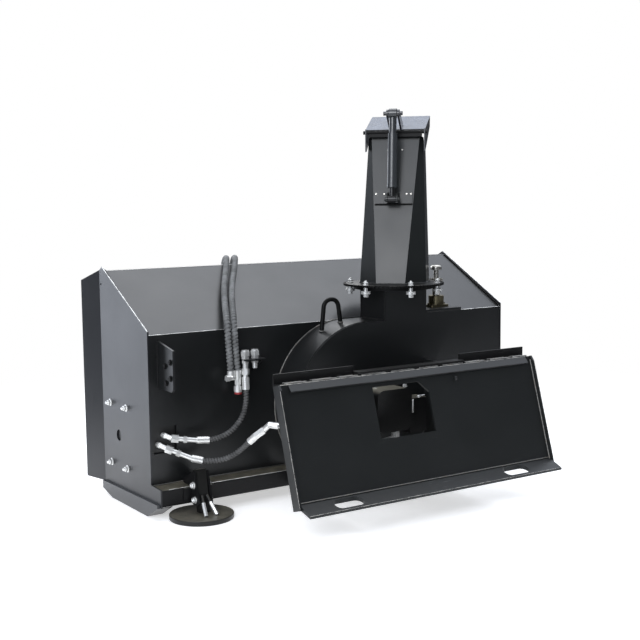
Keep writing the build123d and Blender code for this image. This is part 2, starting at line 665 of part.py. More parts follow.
with BuildPart() as auger_bearing:
    with BuildSketch(Plane.YZ.offset(HALF_WIDTH)):
        with Locations((AUGER_Y, AUGER_Z)):
            RectangleRounded(136, 136, 20)
    extrude(amount=9)
    with BuildSketch(Plane.YZ.offset(HALF_WIDTH + 9)):
        with Locations((AUGER_Y, AUGER_Z)):
            Circle(50)
            with GridLocations(104, 104, 2, 2):
                RegularPolygon(9, 6)
    extrude(amount=8)
    with BuildSketch(Plane.YZ.offset(HALF_WIDTH - 1)):
        with Locations((AUGER_Y, AUGER_Z)):
            Circle(SHAFT_R + 0.06)
    extrude(amount=20, mode=Mode.SUBTRACT)
finish(auger_bearing, "auger_bearing")

# ---- fan and fan motor -------------------------------------------------------------------
FAN_Y0 = DRUM_REAR_Y + DRUM_PLATE_T + 4
FAN_Y1 = 44
HUB_R = 46
with BuildPart() as fan_hub:
    with BuildSketch(xz_plane(FAN_Y0)):
        with Locations((0, DRUM_Z)):
            Circle(HUB_R)
    extrude(amount=-(FAN_Y1 - FAN_Y0))
    with BuildSketch(xz_plane(FAN_Y0)):
        with Locations((0, DRUM_Z)):
            Circle(SPIGOT_R + 0.06)
    extrude(amount=-56, mode=Mode.SUBTRACT)
finish(fan_hub, "fan_hub")

with BuildPart() as fan_blades:
    with BuildSketch(xz_plane(FAN_Y0)):
        with Locations((0, DRUM_Z)):
            with PolarLocations(FAN_R / 2 + 19, 4):
                Rectangle(FAN_R - 42, 10)
            with PolarLocations(FAN_R - 14, 4):
                with Locations((0, 14)):
                    Rectangle(10, 30)
            Circle(HUB_R, mode=Mode.SUBTRACT)
    extrude(amount=-(FAN_Y1 - FAN_Y0 - 2))
finish(fan_blades, "fan_blades")

VALVE_X = 100             # valve block beside the motor
FAN_MOTOR_REAR = -289
with BuildPart() as fan_motor:
    with BuildSketch(xz_plane(DRUM_REAR_Y)):
        with Locations((0, DRUM_Z)):
            Circle(84)
    extrude(amount=14)
    with BuildSketch(xz_plane(DRUM_REAR_Y - 14)):
        with Locations((0, DRUM_Z)):
            RectangleRounded(150, 150, 22)
    extrude(amount=126)
    with BuildSketch(xz_plane(DRUM_REAR_Y - 100)):
        with Locations((0, DRUM_Z)):
            RectangleRounded(156, 158, 28)
    extrude(amount=DRUM_REAR_Y - 100 - FAN_MOTOR_REAR)
    with BuildSketch(xz_plane(DRUM_REAR_Y - 80)):
        with Locations((VALVE_X + 38, 302)):
            Rectangle(76, 132)
        with Locations((VALVE_X - 20, 312)):
            Rectangle(50, 50)
    extrude(amount=62)
    with BuildSketch(xz_plane(DRUM_REAR_Y)):
        with Locations((0, DRUM_Z)):
            Circle(SPIGOT_R)
    extrude(amount=-(FAN_Y0 - DRUM_REAR_Y + 54))
finish(fan_motor, "fan_motor")

# ---- loader mount ------------------------------------------------------------------------
mount_run = math.hypot(MOUNT_TOP_Y - MOUNT_BOTTOM_Y, MOUNT_TOP_Z - MOUNT_BOTTOM_Z)
DOWN_Y = (MOUNT_BOTTOM_Y - MOUNT_TOP_Y) / mount_run
DOWN_Z = (MOUNT_BOTTOM_Z - MOUNT_TOP_Z) / mount_run
LIP_FOLD_AT = (LIP_FOLD_Z - MOUNT_TOP_Z) / DOWN_Z
MOUNT_PLANE = Plane(origin=(0, MOUNT_TOP_Y, MOUNT_TOP_Z), x_dir=(1, 0, 0), z_dir=(0, DOWN_Z, -DOWN_Y))


def mount_yz(down, forward):
    """(y, z) of a point this far down the mount plate and this far in front of its rear face."""
    return (MOUNT_TOP_Y + down * DOWN_Y - forward * DOWN_Z, MOUNT_TOP_Z + down * DOWN_Z + forward * DOWN_Y)


def front_face_y(z):
    """Where the front face of the mount plate is, at height z."""
    y0, z0 = mount_yz(0, MOUNT_T)
    return y0 + (z - z0) * DOWN_Y / DOWN_Z


with BuildPart() as mount_plate:
    with BuildSketch(MOUNT_PLANE):
        outline([(-MOUNT_HALF, -HOOK_DEPTH), (MOUNT_HALF, -HOOK_DEPTH),
                 (MOUNT_HALF, -LIP_FOLD_AT), (-MOUNT_HALF, -LIP_FOLD_AT)])
        outline([(-195, -228), (-195, -45), (10, -45), (50, -85), (50, -228)], mode=Mode.SUBTRACT)
    extrude(amount=-MOUNT_T)
finish(mount_plate, "mount_plate")

# Upper strip of the plate with the hook that hangs over the coupler.
with BuildPart() as mount_top_lip:
    with BuildSketch(Plane.YZ.offset(-MOUNT_HALF)):
        outline([mount_yz(0, 0), mount_yz(0, MOUNT_T), mount_yz(HOOK_DEPTH, MOUNT_T),
                 mount_yz(HOOK_DEPTH, 0)])
    extrude(amount=2 * MOUNT_HALF)
    with BuildSketch(Plane.YZ.offset(-533)):
        outline([mount_yz(0, 0), (MOUNT_TOP_Y - 20, MOUNT_TOP_Z - 22), (MOUNT_TOP_Y - 15, MOUNT_TOP_Z - 27),
                 mount_yz(12, 0)])
    extrude(amount=533 + 540)
finish(mount_top_lip, "mount_top_lip")

SLOT_MIDDLE_X = -13
SLOT_SPACING = 753
SLOT_Y = -545
SLOT_L = 115
SLOT_W = 46
LIP_T = 8
with BuildPart() as mount_bottom_lip:
    with BuildSketch(Plane.YZ.offset(-MOUNT_HALF)):
        outline([(LIP_Y, LIP_Z), mount_yz(LIP_FOLD_AT, 0), mount_yz(LIP_FOLD_AT, MOUNT_T),
                 mount_yz(mount_run - 8, MOUNT_T), (LIP_Y, LIP_Z - LIP_T)])
    extrude(amount=2 * MOUNT_HALF)
    with BuildSketch(Plane.XY.offset(LIP_FOLD_Z)):
        with Locations((SLOT_MIDDLE_X, SLOT_Y)):
            with GridLocations(SLOT_SPACING, 0, 2, 1):
                SlotOverall(SLOT_L, SLOT_W)
    extrude(amount=LIP_Z - LIP_T - LIP_FOLD_Z - 1, mode=Mode.SUBTRACT)
finish(mount_bottom_lip, "mount_bottom_lip")

FLANGE_T = 8
with BuildPart() as mount_side_flanges:
    for start in (-MOUNT_HALF - FLANGE_T, MOUNT_HALF):
        with BuildSketch(Plane.YZ.offset(start)):
            outline([mount_yz(0, 32), mount_yz(0, -4), mount_yz(20, -12), mount_yz(mount_run, -12),
                     mount_yz(mount_run, 32)])
        extrude(amount=FLANGE_T)
finish(mount_side_flanges, "mount_side_flanges")

# Two side arms tie the mount plate to the fan housing and the bottom beams.
ARM_X0 = 280
ARM_T = 10
PIPE_Y = -209
PIPE_Z = 325


with BuildPart() as frame_arms:
    for side in (-1, 1):
        with BuildSketch(Plane.YZ.offset(side * ARM_X0)):
            outline([(BEAM_Y, 109), (BEAM_Y, 52), (front_face_y(MOUNT_BOTTOM_Z), MOUNT_BOTTOM_Z),
                     (front_face_y(486), 486), (DRUM_REAR_Y, 486), (DRUM_REAR_Y, 195)])
            with Locations((PIPE_Y, PIPE_Z)):
                Circle(12, mode=Mode.SUBTRACT)
        extrude(amount=side * ARM_T)
finish(frame_arms, "frame_arms")

# Angle rails along the top of the mount plate, on its front side, and a bar between them.
with BuildPart() as top_rails:
    for x0, x1 in ((-MOUNT_HALF, -240), (245, MOUNT_HALF)):
        with BuildSketch(Plane.YZ.offset(x0)):
            outline([(front_face_y(504), 504), (front_face_y(497), 497), (-356, 497), (-356, 538),
                     (-363, 538), (-363, 504)])
        extrude(amount=x1 - x0)
    with BuildSketch(Plane.YZ.offset(-240)):
        outline([mount_yz(0, MOUNT_T), (front_face_y(487), 487), (-350, 487), (-350, 518),
                 (mount_yz(0, MOUNT_T)[0], 518)])
    extrude(amount=485)
finish(top_rails, "top_rails")

# ---- brackets on the back plate ----------------------------------------------------------
with BuildPart() as park_bracket:
    with BuildSketch(Plane.YZ.offset(-792)):
        outline([(BACK_Y, 458), (BACK_Y, 628), (-70, 604), (-70, 470), (-58, 458)])
    extrude(amount=8)
finish(park_bracket, "park_bracket")

with BuildPart() as park_bracket_bolts:
    for start, amount in ((-792, -8), (-784, 6)):
        with BuildSketch(Plane.YZ.offset(start)):
            with Locations((-14, 545), (-54, 562), (-20, 486), (-54, 506)):
                RegularPolygon(9, 6)
        extrude(amount=amount)
finish(park_bracket_bolts, "park_bracket_bolts")

PORT_X = (-470, -430)
PORT_Y = -9
PORT_PLATE_Z = 536
PORT_PLATE_T = 6
with BuildPart() as port_bracket:
    with BuildSketch(Plane.XY.offset(PORT_PLATE_Z)):
        outline([(-480, -39), (-400, -39), (-400, BACK_Y), (-480, BACK_Y)])
        with Locations(*[(x, PORT_Y) for x in PORT_X]):
            Circle(10.5, mode=Mode.SUBTRACT)
    extrude(amount=PORT_PLATE_T)
    with BuildSketch(Plane.YZ.offset(-406)):
        outline([(BACK_Y, PORT_PLATE_Z), (BACK_Y, PORT_PLATE_Z - 50), (-20, PORT_PLATE_Z)])
    extrude(amount=6)
finish(port_bracket, "port_bracket")

with BuildPart() as port_fittings:
    for x in PORT_X:
        for z0, height, radius, sides in ((506, 46, 10, 0), (526, 10, 14, 6), (542, 8, 15, 6)):
            with BuildSketch(Plane.XY.offset(z0)):
                with Locations((x, PORT_Y)):
                    if sides:
                        RegularPolygon(radius, sides)
                    else:
                        Circle(radius)
            extrude(amount=height)
finish(port_fittings, "port_fittings")

with BuildPart() as port_caps:
    for x in PORT_X:
        for z0, height, radius, sides in ((552, 17, 17.5, 6), (569, 5, 13, 24)):
            with BuildSketch(Plane.XY.offset(z0)):
                with Locations((x, PORT_Y)):
                    RegularPolygon(radius, sides)
            extrude(amount=height)
finish(port_caps, "port_caps")


# ---- hoses and their fittings ------------------------------------------------------------
def between(start, end):
    """Plane at start, facing end, and the distance to it."""
    start = Vector(*start)
    end = Vector(*end)
    return Plane(origin=start, z_dir=end - start), (end - start).length


def fittings(steps):
    """Turned and hexagonal lengths, one after another: start, end, radius, sides (0 = round)."""
    with BuildPart() as piece:
        for start, end, radius, sides in steps:
            plane, length = between(start, end)
            with BuildSketch(plane):
                if sides:
                    RegularPolygon(radius, sides)
                else:
                    Circle(radius)
            extrude(amount=length)
    return piece


HOSE_A = [(-630, -17, 264), (-575, -32, 268), (-505, -34, 322), (-476, -24, 385), (-474, -17, 430)]
HOSE_B = [(-664, -29, 196), (-612, -52, 188), (-550, -84, 216), (-525, -124, 262)]
SUPPLY_LEFT = [(-520, 11, 500), (-527, 12, 580), (-530, 14, 682), (-480, 118, 726), (-420, 235, 783),
               (-352, 340, 842), (-306, 415, 880), (-278, 470, 884), (-256, 524, 872), (-246, 559, 830),
               (-244, 563, 760), (-243, 559, 694), (-244, 561, 630)]
SUPPLY_RIGHT = [(-492, 11, 500), (-499, 12, 580), (-502, 14, 682), (-450, 118, 726), (-386, 235, 783),
                (-315, 340, 842), (-267, 415, 880), (-239, 470, 884), (-216, 524, 872), (-206, 559, 830),
                (-204, 563, 760), (-203, 559, 694), (-204, 561, 630)]

# Port ends and top end of hose A, port end of hose B, then its elbow and the pipe to the fan motor.
finish(fittings([((-772, 62, 286), (-772, 44, 286), 10, 0), ((-772, 47, 286), (-754, 31, 277), 9, 0),
                 ((-755, 31.5, 277), (-731, 21, 274), 15, 6), ((-732, 21.4, 274.1), (-671, -5.3, 266), 9, 0),
                 ((-716, 14.3, 271.9), (-704, 9, 270.3), 12.5, 6), ((-672, -5, 266), HOSE_A[0], 13, 0),
                 (HOSE_A[-1], (-472, -12, 476), 13, 0), ((-472, -12, 475), (-471.4, -11, 485), 9, 0),
                 ((-471.4, -11, 484), (-470, -9, 506), 14, 6),
                 ((-794, 62, 254), (-794, 44, 254), 10, 0), ((-794, 47, 254), (-776, 32, 243), 9, 0),
                 ((-777, 33, 243.5), (-757, 21, 234), 15, 6),
                 ((-758, 21.6, 234.5), (-699, -13.3, 205.6), 9, 0),
                 ((-744, 13, 227.6), (-733, 6.6, 222.2), 12.5, 6), ((-700, -13, 206), HOSE_B[0], 13, 0),
                 (HOSE_B[-1], (-509, -144, 285), 13, 0), ((-510, -143, 284), (-488, -164, 307), 14, 6),
                 ((-489, -163, 306), (-475, -184, 329), 10, 0),
                 ((-479, -182, 328), (-455, PIPE_Y, PIPE_Z), 12, 6),
                 ((-463, PIPE_Y, PIPE_Z), (-78.4, PIPE_Y, PIPE_Z), 9, 0),
                 ((20, -262, 261), (20, -262, 226), 17, 6), ((26, -262, 232), (-62, -276, 227), 11, 0)]),
       "motor_hose_fittings")

# Elbow of the left supply hose and straight end of the right one, which wears a dust cap.
finish(fittings([(SUPPLY_LEFT[0], (-519, 11, 484), 14, 0), ((-519, 11, 485), (-519, 8, 476), 12, 6),
                 ((-535, 7, 474), (-508, 7, 474), 9, 0), ((-542, 7, 474), (-528, 7, 474), 12, 6),
                 (SUPPLY_RIGHT[0], (-491, 11, 466), 14, 0), ((-491, 11, 467), (-491, 11, 448), 13, 6),
                 ((-491, 11, 449), (-491, 11, 441), 10, 0), ((-491, 11, 442), (-491, 11, 420), 15.5, 0)]),
       "supply_fittings")
finish(fittings([((-491, 11, 420), (-491, 11, 412), 14, 0)]), "supply_cap")
finish(fittings([step for route in (SUPPLY_LEFT, SUPPLY_RIGHT) for step in (
    (route[-1], (route[-1][0], 561, 596), 13.4, 0),
    ((route[-1][0], 561, 597), (route[-1][0], 561, 570), 13, 6),
    ((route[-1][0], 561, 571), (route[-1][0], 561, 520), 13, 0))]), "supply_couplers")


def hose(points, diameter, label):
    """A round tube along straight runs joined by tangent arcs."""
    radii = []
    for before, here, after in zip(points, points[1:], points[2:]):
        run_in = Vector(*here) - Vector(*before)
        run_out = Vector(*after) - Vector(*here)
        half_turn = math.radians(run_in.get_angle(run_out)) / 2
        radii.append(0.45 * min(run_in.length, run_out.length) / math.tan(half_turn))
    with BuildPart() as tube:
        with BuildLine() as route:
            FilletPolyline(*points, radius=radii)
        with BuildSketch(Plane(origin=route.line @ 0, z_dir=route.line % 0)):
            Circle(diameter / 2)
        sweep()
    run = route.wires()[0].length
    expected = math.pi * diameter**2 / 4 * run
    print(label, "length", round(run, 1), "radii", [round(r) for r in radii],
          "volume ratio", round(tube.part.volume / expected, 4))
    finish(tube, label)


hose(HOSE_A, HOSE_D, "motor_hose_a")
hose(HOSE_B, HOSE_D, "motor_hose_b")
hose(SUPPLY_LEFT, SUPPLY_D, "supply_hose_left")
hose(SUPPLY_RIGHT, SUPPLY_D, "supply_hose_right")

# ---- adjustable feet ---------------------------------------------------------------------
FOOT_X = 681              # middle of the foot's column, either side
FOOT_Y = -64
DISC_R = 115
DISC_T = 18
LEAN_Y = 0.196            # the column leans forward going up
LEAN_Z = 0.9806
COLUMN_W = 38
COLUMN_D = 30
COLUMN_H = 153
CLAMP_UP = (47, 99)       # clamp bolts, up the column
FOOT_DROP = 30            # travel down and up from the rest position
FOOT_LIFT = 12


def lean_plane(x):
    """Plane across X at the column's foot: local x forward, local y up the column."""
    return Plane(origin=(x, FOOT_Y, DISC_T), x_dir=(0, LEAN_Z, -LEAN_Y), z_dir=(1, 0, 0))


def foot(side):
    """Ground disc with its slotted column and two stays."""
    x0 = side * FOOT_X - COLUMN_W / 2
    with BuildPart() as piece:
        with BuildSketch(Plane.XY):
            with Locations((side * (FOOT_X + 9), FOOT_Y)):
                Circle(DISC_R)
        extrude(amount=DISC_T)
        fillet(piece.edges().filter_by(GeomType.CIRCLE), radius=3)
        with BuildSketch(lean_plane(x0)):
            outline([(-COLUMN_D / 2, 0), (COLUMN_D / 2, 0),
                     (COLUMN_D / 2, COLUMN_H), (-COLUMN_D / 2, COLUMN_H)])
        extrude(amount=COLUMN_W)
        with BuildSketch(lean_plane(x0)):
            with Locations((0, (CLAMP_UP[0] - FOOT_LIFT + CLAMP_UP[1] + FOOT_DROP) / 2)):
                SlotOverall(CLAMP_UP[1] - CLAMP_UP[0] + FOOT_DROP + FOOT_LIFT + 14, 14, rotation=90)
        extrude(amount=COLUMN_W, mode=Mode.SUBTRACT)
        for spread in (-1, 1):
            plane, length = between((side * FOOT_X + 22 * spread, FOOT_Y - 62, DISC_T - 3),
                                    (side * FOOT_X + 10 * spread, FOOT_Y - 6, 80))
            with BuildSketch(plane):
                Circle(6)
            extrude(amount=length)
    return piece


finish(foot(-1), "left_foot")
finish(foot(1), "right_foot")

# On each side a face plate and two ears are welded on the rear of the bottom beam.
with BuildPart() as foot_brackets:
    for middle in (-FOOT_X, FOOT_X):
        with BuildSketch(xz_plane(BEAM_Y)):
            with Locations((middle, 79)):
                Rectangle(120, 52)
        extrude(amount=4)
        for start in (middle - COLUMN_W / 2 - 10, middle + COLUMN_W / 2 + 2):
            with BuildSketch(lean_plane(start)):
                outline([(-26, 44), (-22, 28), (12, 28), (30, 38), (26, 92), (76, 110), (84, 124),
                         (18, COLUMN_H - 12), (-14, COLUMN_H - 6)])
            extrude(amount=8)
        with BuildSketch(xz_plane(BEAM_Y)):
            with Locations((middle, 79)):
                Rectangle(160, 2 * (BEAM_Z1 - 79) + 1)
        extrude(amount=-90, mode=Mode.SUBTRACT)
        with BuildSketch(lean_plane(middle - 60)):
            with Locations(*[(0, up) for up in CLAMP_UP]):
                Circle(6)
        extrude(amount=120, mode=Mode.SUBTRACT)
finish(foot_brackets, "foot_brackets")

# Cross bolts through the ears and the column's slot.
with BuildPart() as foot_clamp_bolts:
    for middle in (-FOOT_X, FOOT_X):
        for start, length, radius, sides in ((middle - 39, 78, 6, 0), (middle - 39, 10, 11, 6),
                                             (middle + 29, 10, 11, 6)):
            with BuildSketch(lean_plane(start)):
                with Locations(*[(0, up) for up in CLAMP_UP]):
                    if sides:
                        RegularPolygon(radius, sides)
                    else:
                        Circle(radius)
            extrude(amount=length)
finish(foot_clamp_bolts, "foot_clamp_bolts")

# ---- bolts on the chute's back panel -----------------------------------------------------
with BuildPart() as chute_bolts:
    panel_lean = math.atan2(CHUTE_TOP[0][1] - CHUTE_BASE[0][1], CHUTE_TOP_Z - CHUTE_BASE_Z)
    outward = Vector(*FORWARD) * -math.cos(panel_lean) + Vector(0, 0, math.sin(panel_lean))
    for across, z, proud in ((-28, 1304, 0), (28, 1304, 0), (-68, 1131, 6), (-36, 1131, 6),
                             (52, 1131, 6), (69, 1131, 6)):
        forward = panel_f(z)
        origin = Vector(RING_X, RING_Y, z) + Vector(*ACROSS) * across + Vector(*FORWARD) * forward
        with BuildSketch(Plane(origin=origin + outward * proud, z_dir=outward)):
            RegularPolygon(5.5, 6)
        extrude(amount=5)
finish(chute_bolts, "chute_bolts")
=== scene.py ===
import json
import math
import random

import bmesh
import bpy
from mathutils import Matrix, Vector


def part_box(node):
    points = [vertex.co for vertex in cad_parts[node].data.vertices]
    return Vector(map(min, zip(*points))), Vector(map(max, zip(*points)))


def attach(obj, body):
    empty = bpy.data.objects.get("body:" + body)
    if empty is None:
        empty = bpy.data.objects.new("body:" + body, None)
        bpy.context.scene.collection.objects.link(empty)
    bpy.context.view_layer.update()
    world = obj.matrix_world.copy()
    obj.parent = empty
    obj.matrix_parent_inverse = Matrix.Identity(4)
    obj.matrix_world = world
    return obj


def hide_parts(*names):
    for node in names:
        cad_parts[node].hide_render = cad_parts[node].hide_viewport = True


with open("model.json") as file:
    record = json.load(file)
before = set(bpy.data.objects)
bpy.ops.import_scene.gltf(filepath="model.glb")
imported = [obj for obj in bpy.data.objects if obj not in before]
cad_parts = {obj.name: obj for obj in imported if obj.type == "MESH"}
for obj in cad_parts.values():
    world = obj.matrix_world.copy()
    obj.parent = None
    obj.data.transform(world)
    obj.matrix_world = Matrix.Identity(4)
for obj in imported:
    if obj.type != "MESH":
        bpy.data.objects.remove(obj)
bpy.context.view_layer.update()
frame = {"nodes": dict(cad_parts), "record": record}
nodes = frame["nodes"]

MM = 0.001
random.seed(7)

# ---- places taken from the frame, in millimetres -------------------------------------------
RING = (192, -29)
HEADING = math.radians(45)
FORWARD = Vector((math.sin(HEADING), math.cos(HEADING), 0))
ACROSS = Vector((math.cos(HEADING), -math.sin(HEADING), 0))
UP = Vector((0, 0, 1))
LEFT = (-1, 0, 0)
RIGHT = (1, 0, 0)
DRUM_Z = 340
DRUM_R = 311
BACK_Y = 51
DRUM_REAR_Y = -109
MOUNT_TOP = Vector((0, -401, 507))
MOUNT_DOWN = Vector((0, -120, -399)).normalized()
MOUNT_OUT = Vector((0, MOUNT_DOWN.z, -MOUNT_DOWN.y))
MOUNT_RUN = math.hypot(120, 399)


def chute_point(across, forward, z):
    """A point on the chute: across it, along its discharge direction, and up."""
    return Vector((RING[0], RING[1], z)) + ACROSS * across + FORWARD * forward


def mount_point(x, down, out=0):
    """A point on the mount plate: along it, down it, and out of its rear face."""
    return Vector((x, 0, 0)) + MOUNT_TOP + MOUNT_DOWN * down + MOUNT_OUT * out


# ---- camera ---------------------------------------------------------------------------------
AZIMUTH = math.radians(33.491)
ELEVATION = math.radians(6.309)
ROLL = math.radians(-0.601)
forward = Vector((math.sin(AZIMUTH) * math.cos(ELEVATION), math.cos(AZIMUTH) * math.cos(ELEVATION),
                  -math.sin(ELEVATION)))
level = Vector((math.cos(AZIMUTH), -math.sin(AZIMUTH), 0))
upright = level.cross(forward)
right = level * math.cos(ROLL) + upright * math.sin(ROLL)
top = upright * math.cos(ROLL) - level * math.sin(ROLL)
camera_data = bpy.data.cameras.new("camera")
camera_data.lens = 63.36
camera_data.sensor_width = 36
camera = bpy.data.objects.new("camera", camera_data)
camera.matrix_world = Matrix.Translation((-2.482, -3.545, 1.130)) @ Matrix(
    (right, top, -forward)).transposed().to_4x4()
bpy.context.collection.objects.link(camera)
bpy.context.scene.camera = camera

# ---- hoses ----------------------------------------------------------------------------------
HOSE_A = [(-630, -17, 264), (-575, -32, 268), (-505, -34, 322), (-476, -24, 385), (-474, -17, 430)]
HOSE_B = [(-664, -29, 196), (-612, -52, 188), (-550, -84, 216), (-525, -124, 262)]
SUPPLY_LEFT = [(-520, 11, 500), (-527, 12, 580), (-530, 14, 682), (-480, 118, 726), (-420, 235, 783),
               (-352, 340, 842), (-306, 415, 880), (-278, 470, 884), (-256, 524, 872), (-246, 559, 830),
               (-244, 563, 760), (-243, 559, 694), (-244, 561, 630)]
SUPPLY_RIGHT = [(-492, 11, 500), (-499, 12, 580), (-502, 14, 682), (-450, 118, 726), (-386, 235, 783),
                (-315, 340, 842), (-267, 415, 880), (-239, 470, 884), (-216, 524, 872), (-206, 559, 830),
                (-204, 563, 760), (-203, 559, 694), (-204, 561, 630)]


def route_curve(name, points):
    """A smooth open NURBS line with the route's points as its control points."""
    data = bpy.data.curves.new(name, "CURVE")
    data.dimensions = "3D"
    data.resolution_u = 24
    spline = data.splines.new("NURBS")
    spline.points.add(len(points) - 1)
    for point, place in zip(spline.points, points):
        point.co = (place[0] * MM, place[1] * MM, place[2] * MM, 1)
    spline.order_u = 3
    spline.use_endpoint_u = True
    curve = bpy.data.objects.new(name, data)
    bpy.context.collection.objects.link(curve)
    return curve


def read_line(curve):
    """The points of an unbevelled curve, in metres."""
    mesh = bpy.data.meshes.new_from_object(curve)
    line = [vertex.co.copy() for vertex in mesh.vertices]
    bpy.data.meshes.remove(mesh)
    return line


def even_steps(line, step):
    """The line walked in even steps."""
    walked = [line[0].copy()]
    left = step
    for before, after in zip(line, line[1:]):
        run = (after - before).length
        at = left
        while at <= run:
            walked.append(before.lerp(after, at / run))
            at += step
        left = at - run
    return walked


def new_object(name, mesh, angle=35):
    """A linked object, smooth except at its sharp edges."""
    mesh.polygons.foreach_set("use_smooth", [True] * len(mesh.polygons))
    mesh.set_sharp_from_angle(angle=math.radians(angle))
    made = bpy.data.objects.new(name, mesh)
    bpy.context.collection.objects.link(made)
    return made


def tube_rings(line, radius_at, sides):
    """Vertices and faces of a closed tube; radius_at(distance, turn) gives its radius."""
    vertices = []
    faces = []
    side = None
    travelled = 0
    for i, here in enumerate(line):
        ahead = line[min(i + 1, len(line) - 1)] - line[max(i - 1, 0)]
        ahead.normalize()
        if side is None:
            side = ahead.orthogonal().normalized()
        side = (side - ahead * side.dot(ahead)).normalized()
        other = ahead.cross(side)
        if i:
            travelled += (here - line[i - 1]).length
        for k in range(sides):
            turn = k / sides
            reach = radius_at(travelled, turn)
            angle = 2 * math.pi * turn
            vertices.append(here + (side * math.cos(angle) + other * math.sin(angle)) * reach)
        if i:
            low = (i - 1) * sides
            for k in range(sides):
                nxt = (k + 1) % sides
                faces.append((low + k, low + nxt, low + sides + nxt, low + sides + k))
    faces.append(tuple(reversed(range(sides))))
    faces.append(tuple(range(len(vertices) - sides, len(vertices))))
    return vertices, faces


def tube(name, line, radius_at, sides=20):
    vertices, faces = tube_rings(line, radius_at, sides)
    mesh = bpy.data.meshes.new(name)
    mesh.from_pydata(vertices, [], faces)
    return new_object(name, mesh, 70)


def guarded_hose(name, points, outer, pitch):
    """A hose in its spiral guard: a flat band wound round it, with a narrow gap."""
    curve = route_curve(name + "_route", points)
    line = even_steps(read_line(curve), 0.0014)
    bpy.data.objects.remove(curve)

    def band(distance, turn):
        share = (distance / pitch - turn) % 1
        lift = min(1, share / 0.09, max(0, (0.70 - share) / 0.09))
        return outer - 0.0034 + 0.0034 * max(0, lift)

    return tube(name, line, band, 24), line


hoses = []
for node, points, outer, pitch, length, far_end, ends in (
        ("supply_hose_left", SUPPLY_LEFT, 0.012, 0.0135, 1.0445, "fitting", ["supply_couplers"]),
        ("supply_hose_right", SUPPLY_RIGHT, 0.012, 0.0135, 1.0498, "fitting",
         ["supply_fittings", "supply_cap"]),
        ("motor_hose_a", HOSE_A, 0.010, 0.0105, 0.2577, "object", []),
        ("motor_hose_b", HOSE_B, 0.010, 0.0105, 0.1956, "object", [])):
    hose, line = guarded_hose(node + "_guard", points, outer, pitch)
    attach(hose, "housing")
    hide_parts(node)
    hoses.append((hose, "guard_plastic" if ends else "hose_rubber"))


# ---- materials ------------------------------------------------------------------------------
class Shade:
    """A small helper that wires one procedural material."""

    def __init__(self, name):
        self.material = bpy.data.materials.new(name)
        self.material.use_nodes = True
        self.tree = self.material.node_tree
        self.bsdf = self.tree.nodes["Principled BSDF"]
        self.place = self.tree.nodes.new("ShaderNodeTexCoord").outputs["Object"]
        self.height = None

    def node(self, kind, **inputs):
        made = self.tree.nodes.new(kind)
        for key, value in inputs.items():
            self.put(made.inputs[key.replace("_", " ")], value)
        return made

    def put(self, socket, value):
        if isinstance(value, bpy.types.NodeSocket):
            self.tree.links.new(value, socket)
        else:
            socket.default_value = value

    def noise(self, scale, detail=4, rough=0.55, stretch=None):
        """Noise at so many features a metre, optionally stretched along an axis."""
        place = self.place
        if stretch:
            mapping = self.node("ShaderNodeMapping", Vector=place)
            mapping.inputs["Scale"].default_value = stretch
            place = mapping.outputs["Vector"]
        made = self.node("ShaderNodeTexNoise", Vector=place, Scale=scale, Detail=detail, Roughness=rough)
        return made.outputs["Fac"]

    def ramp(self, value, low, high, out_low=0.0, out_high=1.0):
        made = self.node("ShaderNodeMapRange", Value=value)
        made.inputs["From Min"].default_value = low
        made.inputs["From Max"].default_value = high
        made.inputs["To Min"].default_value = out_low
        made.inputs["To Max"].default_value = out_high
        return made.outputs["Result"]

    def math(self, kind, a, b=0.0):
        made = self.tree.nodes.new("ShaderNodeMath")
        made.operation = kind
        self.put(made.inputs[0], a)
        self.put(made.inputs[1], b)
        return made.outputs[0]

    def mix(self, share, a, b):
        made = self.tree.nodes.new("ShaderNodeMix")
        made.data_type = "RGBA"
        self.put(made.inputs["Factor"], share)
        self.put(made.inputs["A"], a if isinstance(a, bpy.types.NodeSocket) else (*a, 1))
        self.put(made.inputs["B"], b if isinstance(b, bpy.types.NodeSocket) else (*b, 1))
        return made.outputs["Result"]

    def facing_up(self):
        """How far the surface faces upward, 0 to 1."""
        normal = self.tree.nodes.new("ShaderNodeNewGeometry").outputs["Normal"]
        split = self.node("ShaderNodeSeparateXYZ", Vector=normal)
        return self.ramp(split.outputs["Z"], 0.55, 0.98)

    def bump(self, value, depth, strength=1.0):
        """Adds relief of this depth in metres."""
        made = self.node("ShaderNodeBump", Height=value, Strength=strength, Distance=depth)
        if self.height:
            self.put(made.inputs["Normal"], self.height)
        self.height = made.outputs["Normal"]

    def done(self, colour, rough, metallic=0.0, specular=0.5):
        self.put(self.bsdf.inputs["Base Color"], colour)
        self.put(self.bsdf.inputs["Roughness"], rough)
        self.bsdf.inputs["Metallic"].default_value = metallic
        self.bsdf.inputs["Specular IOR Level"].default_value = specular
        if self.height:
            self.put(self.bsdf.inputs["Normal"], self.height)
        return self.material


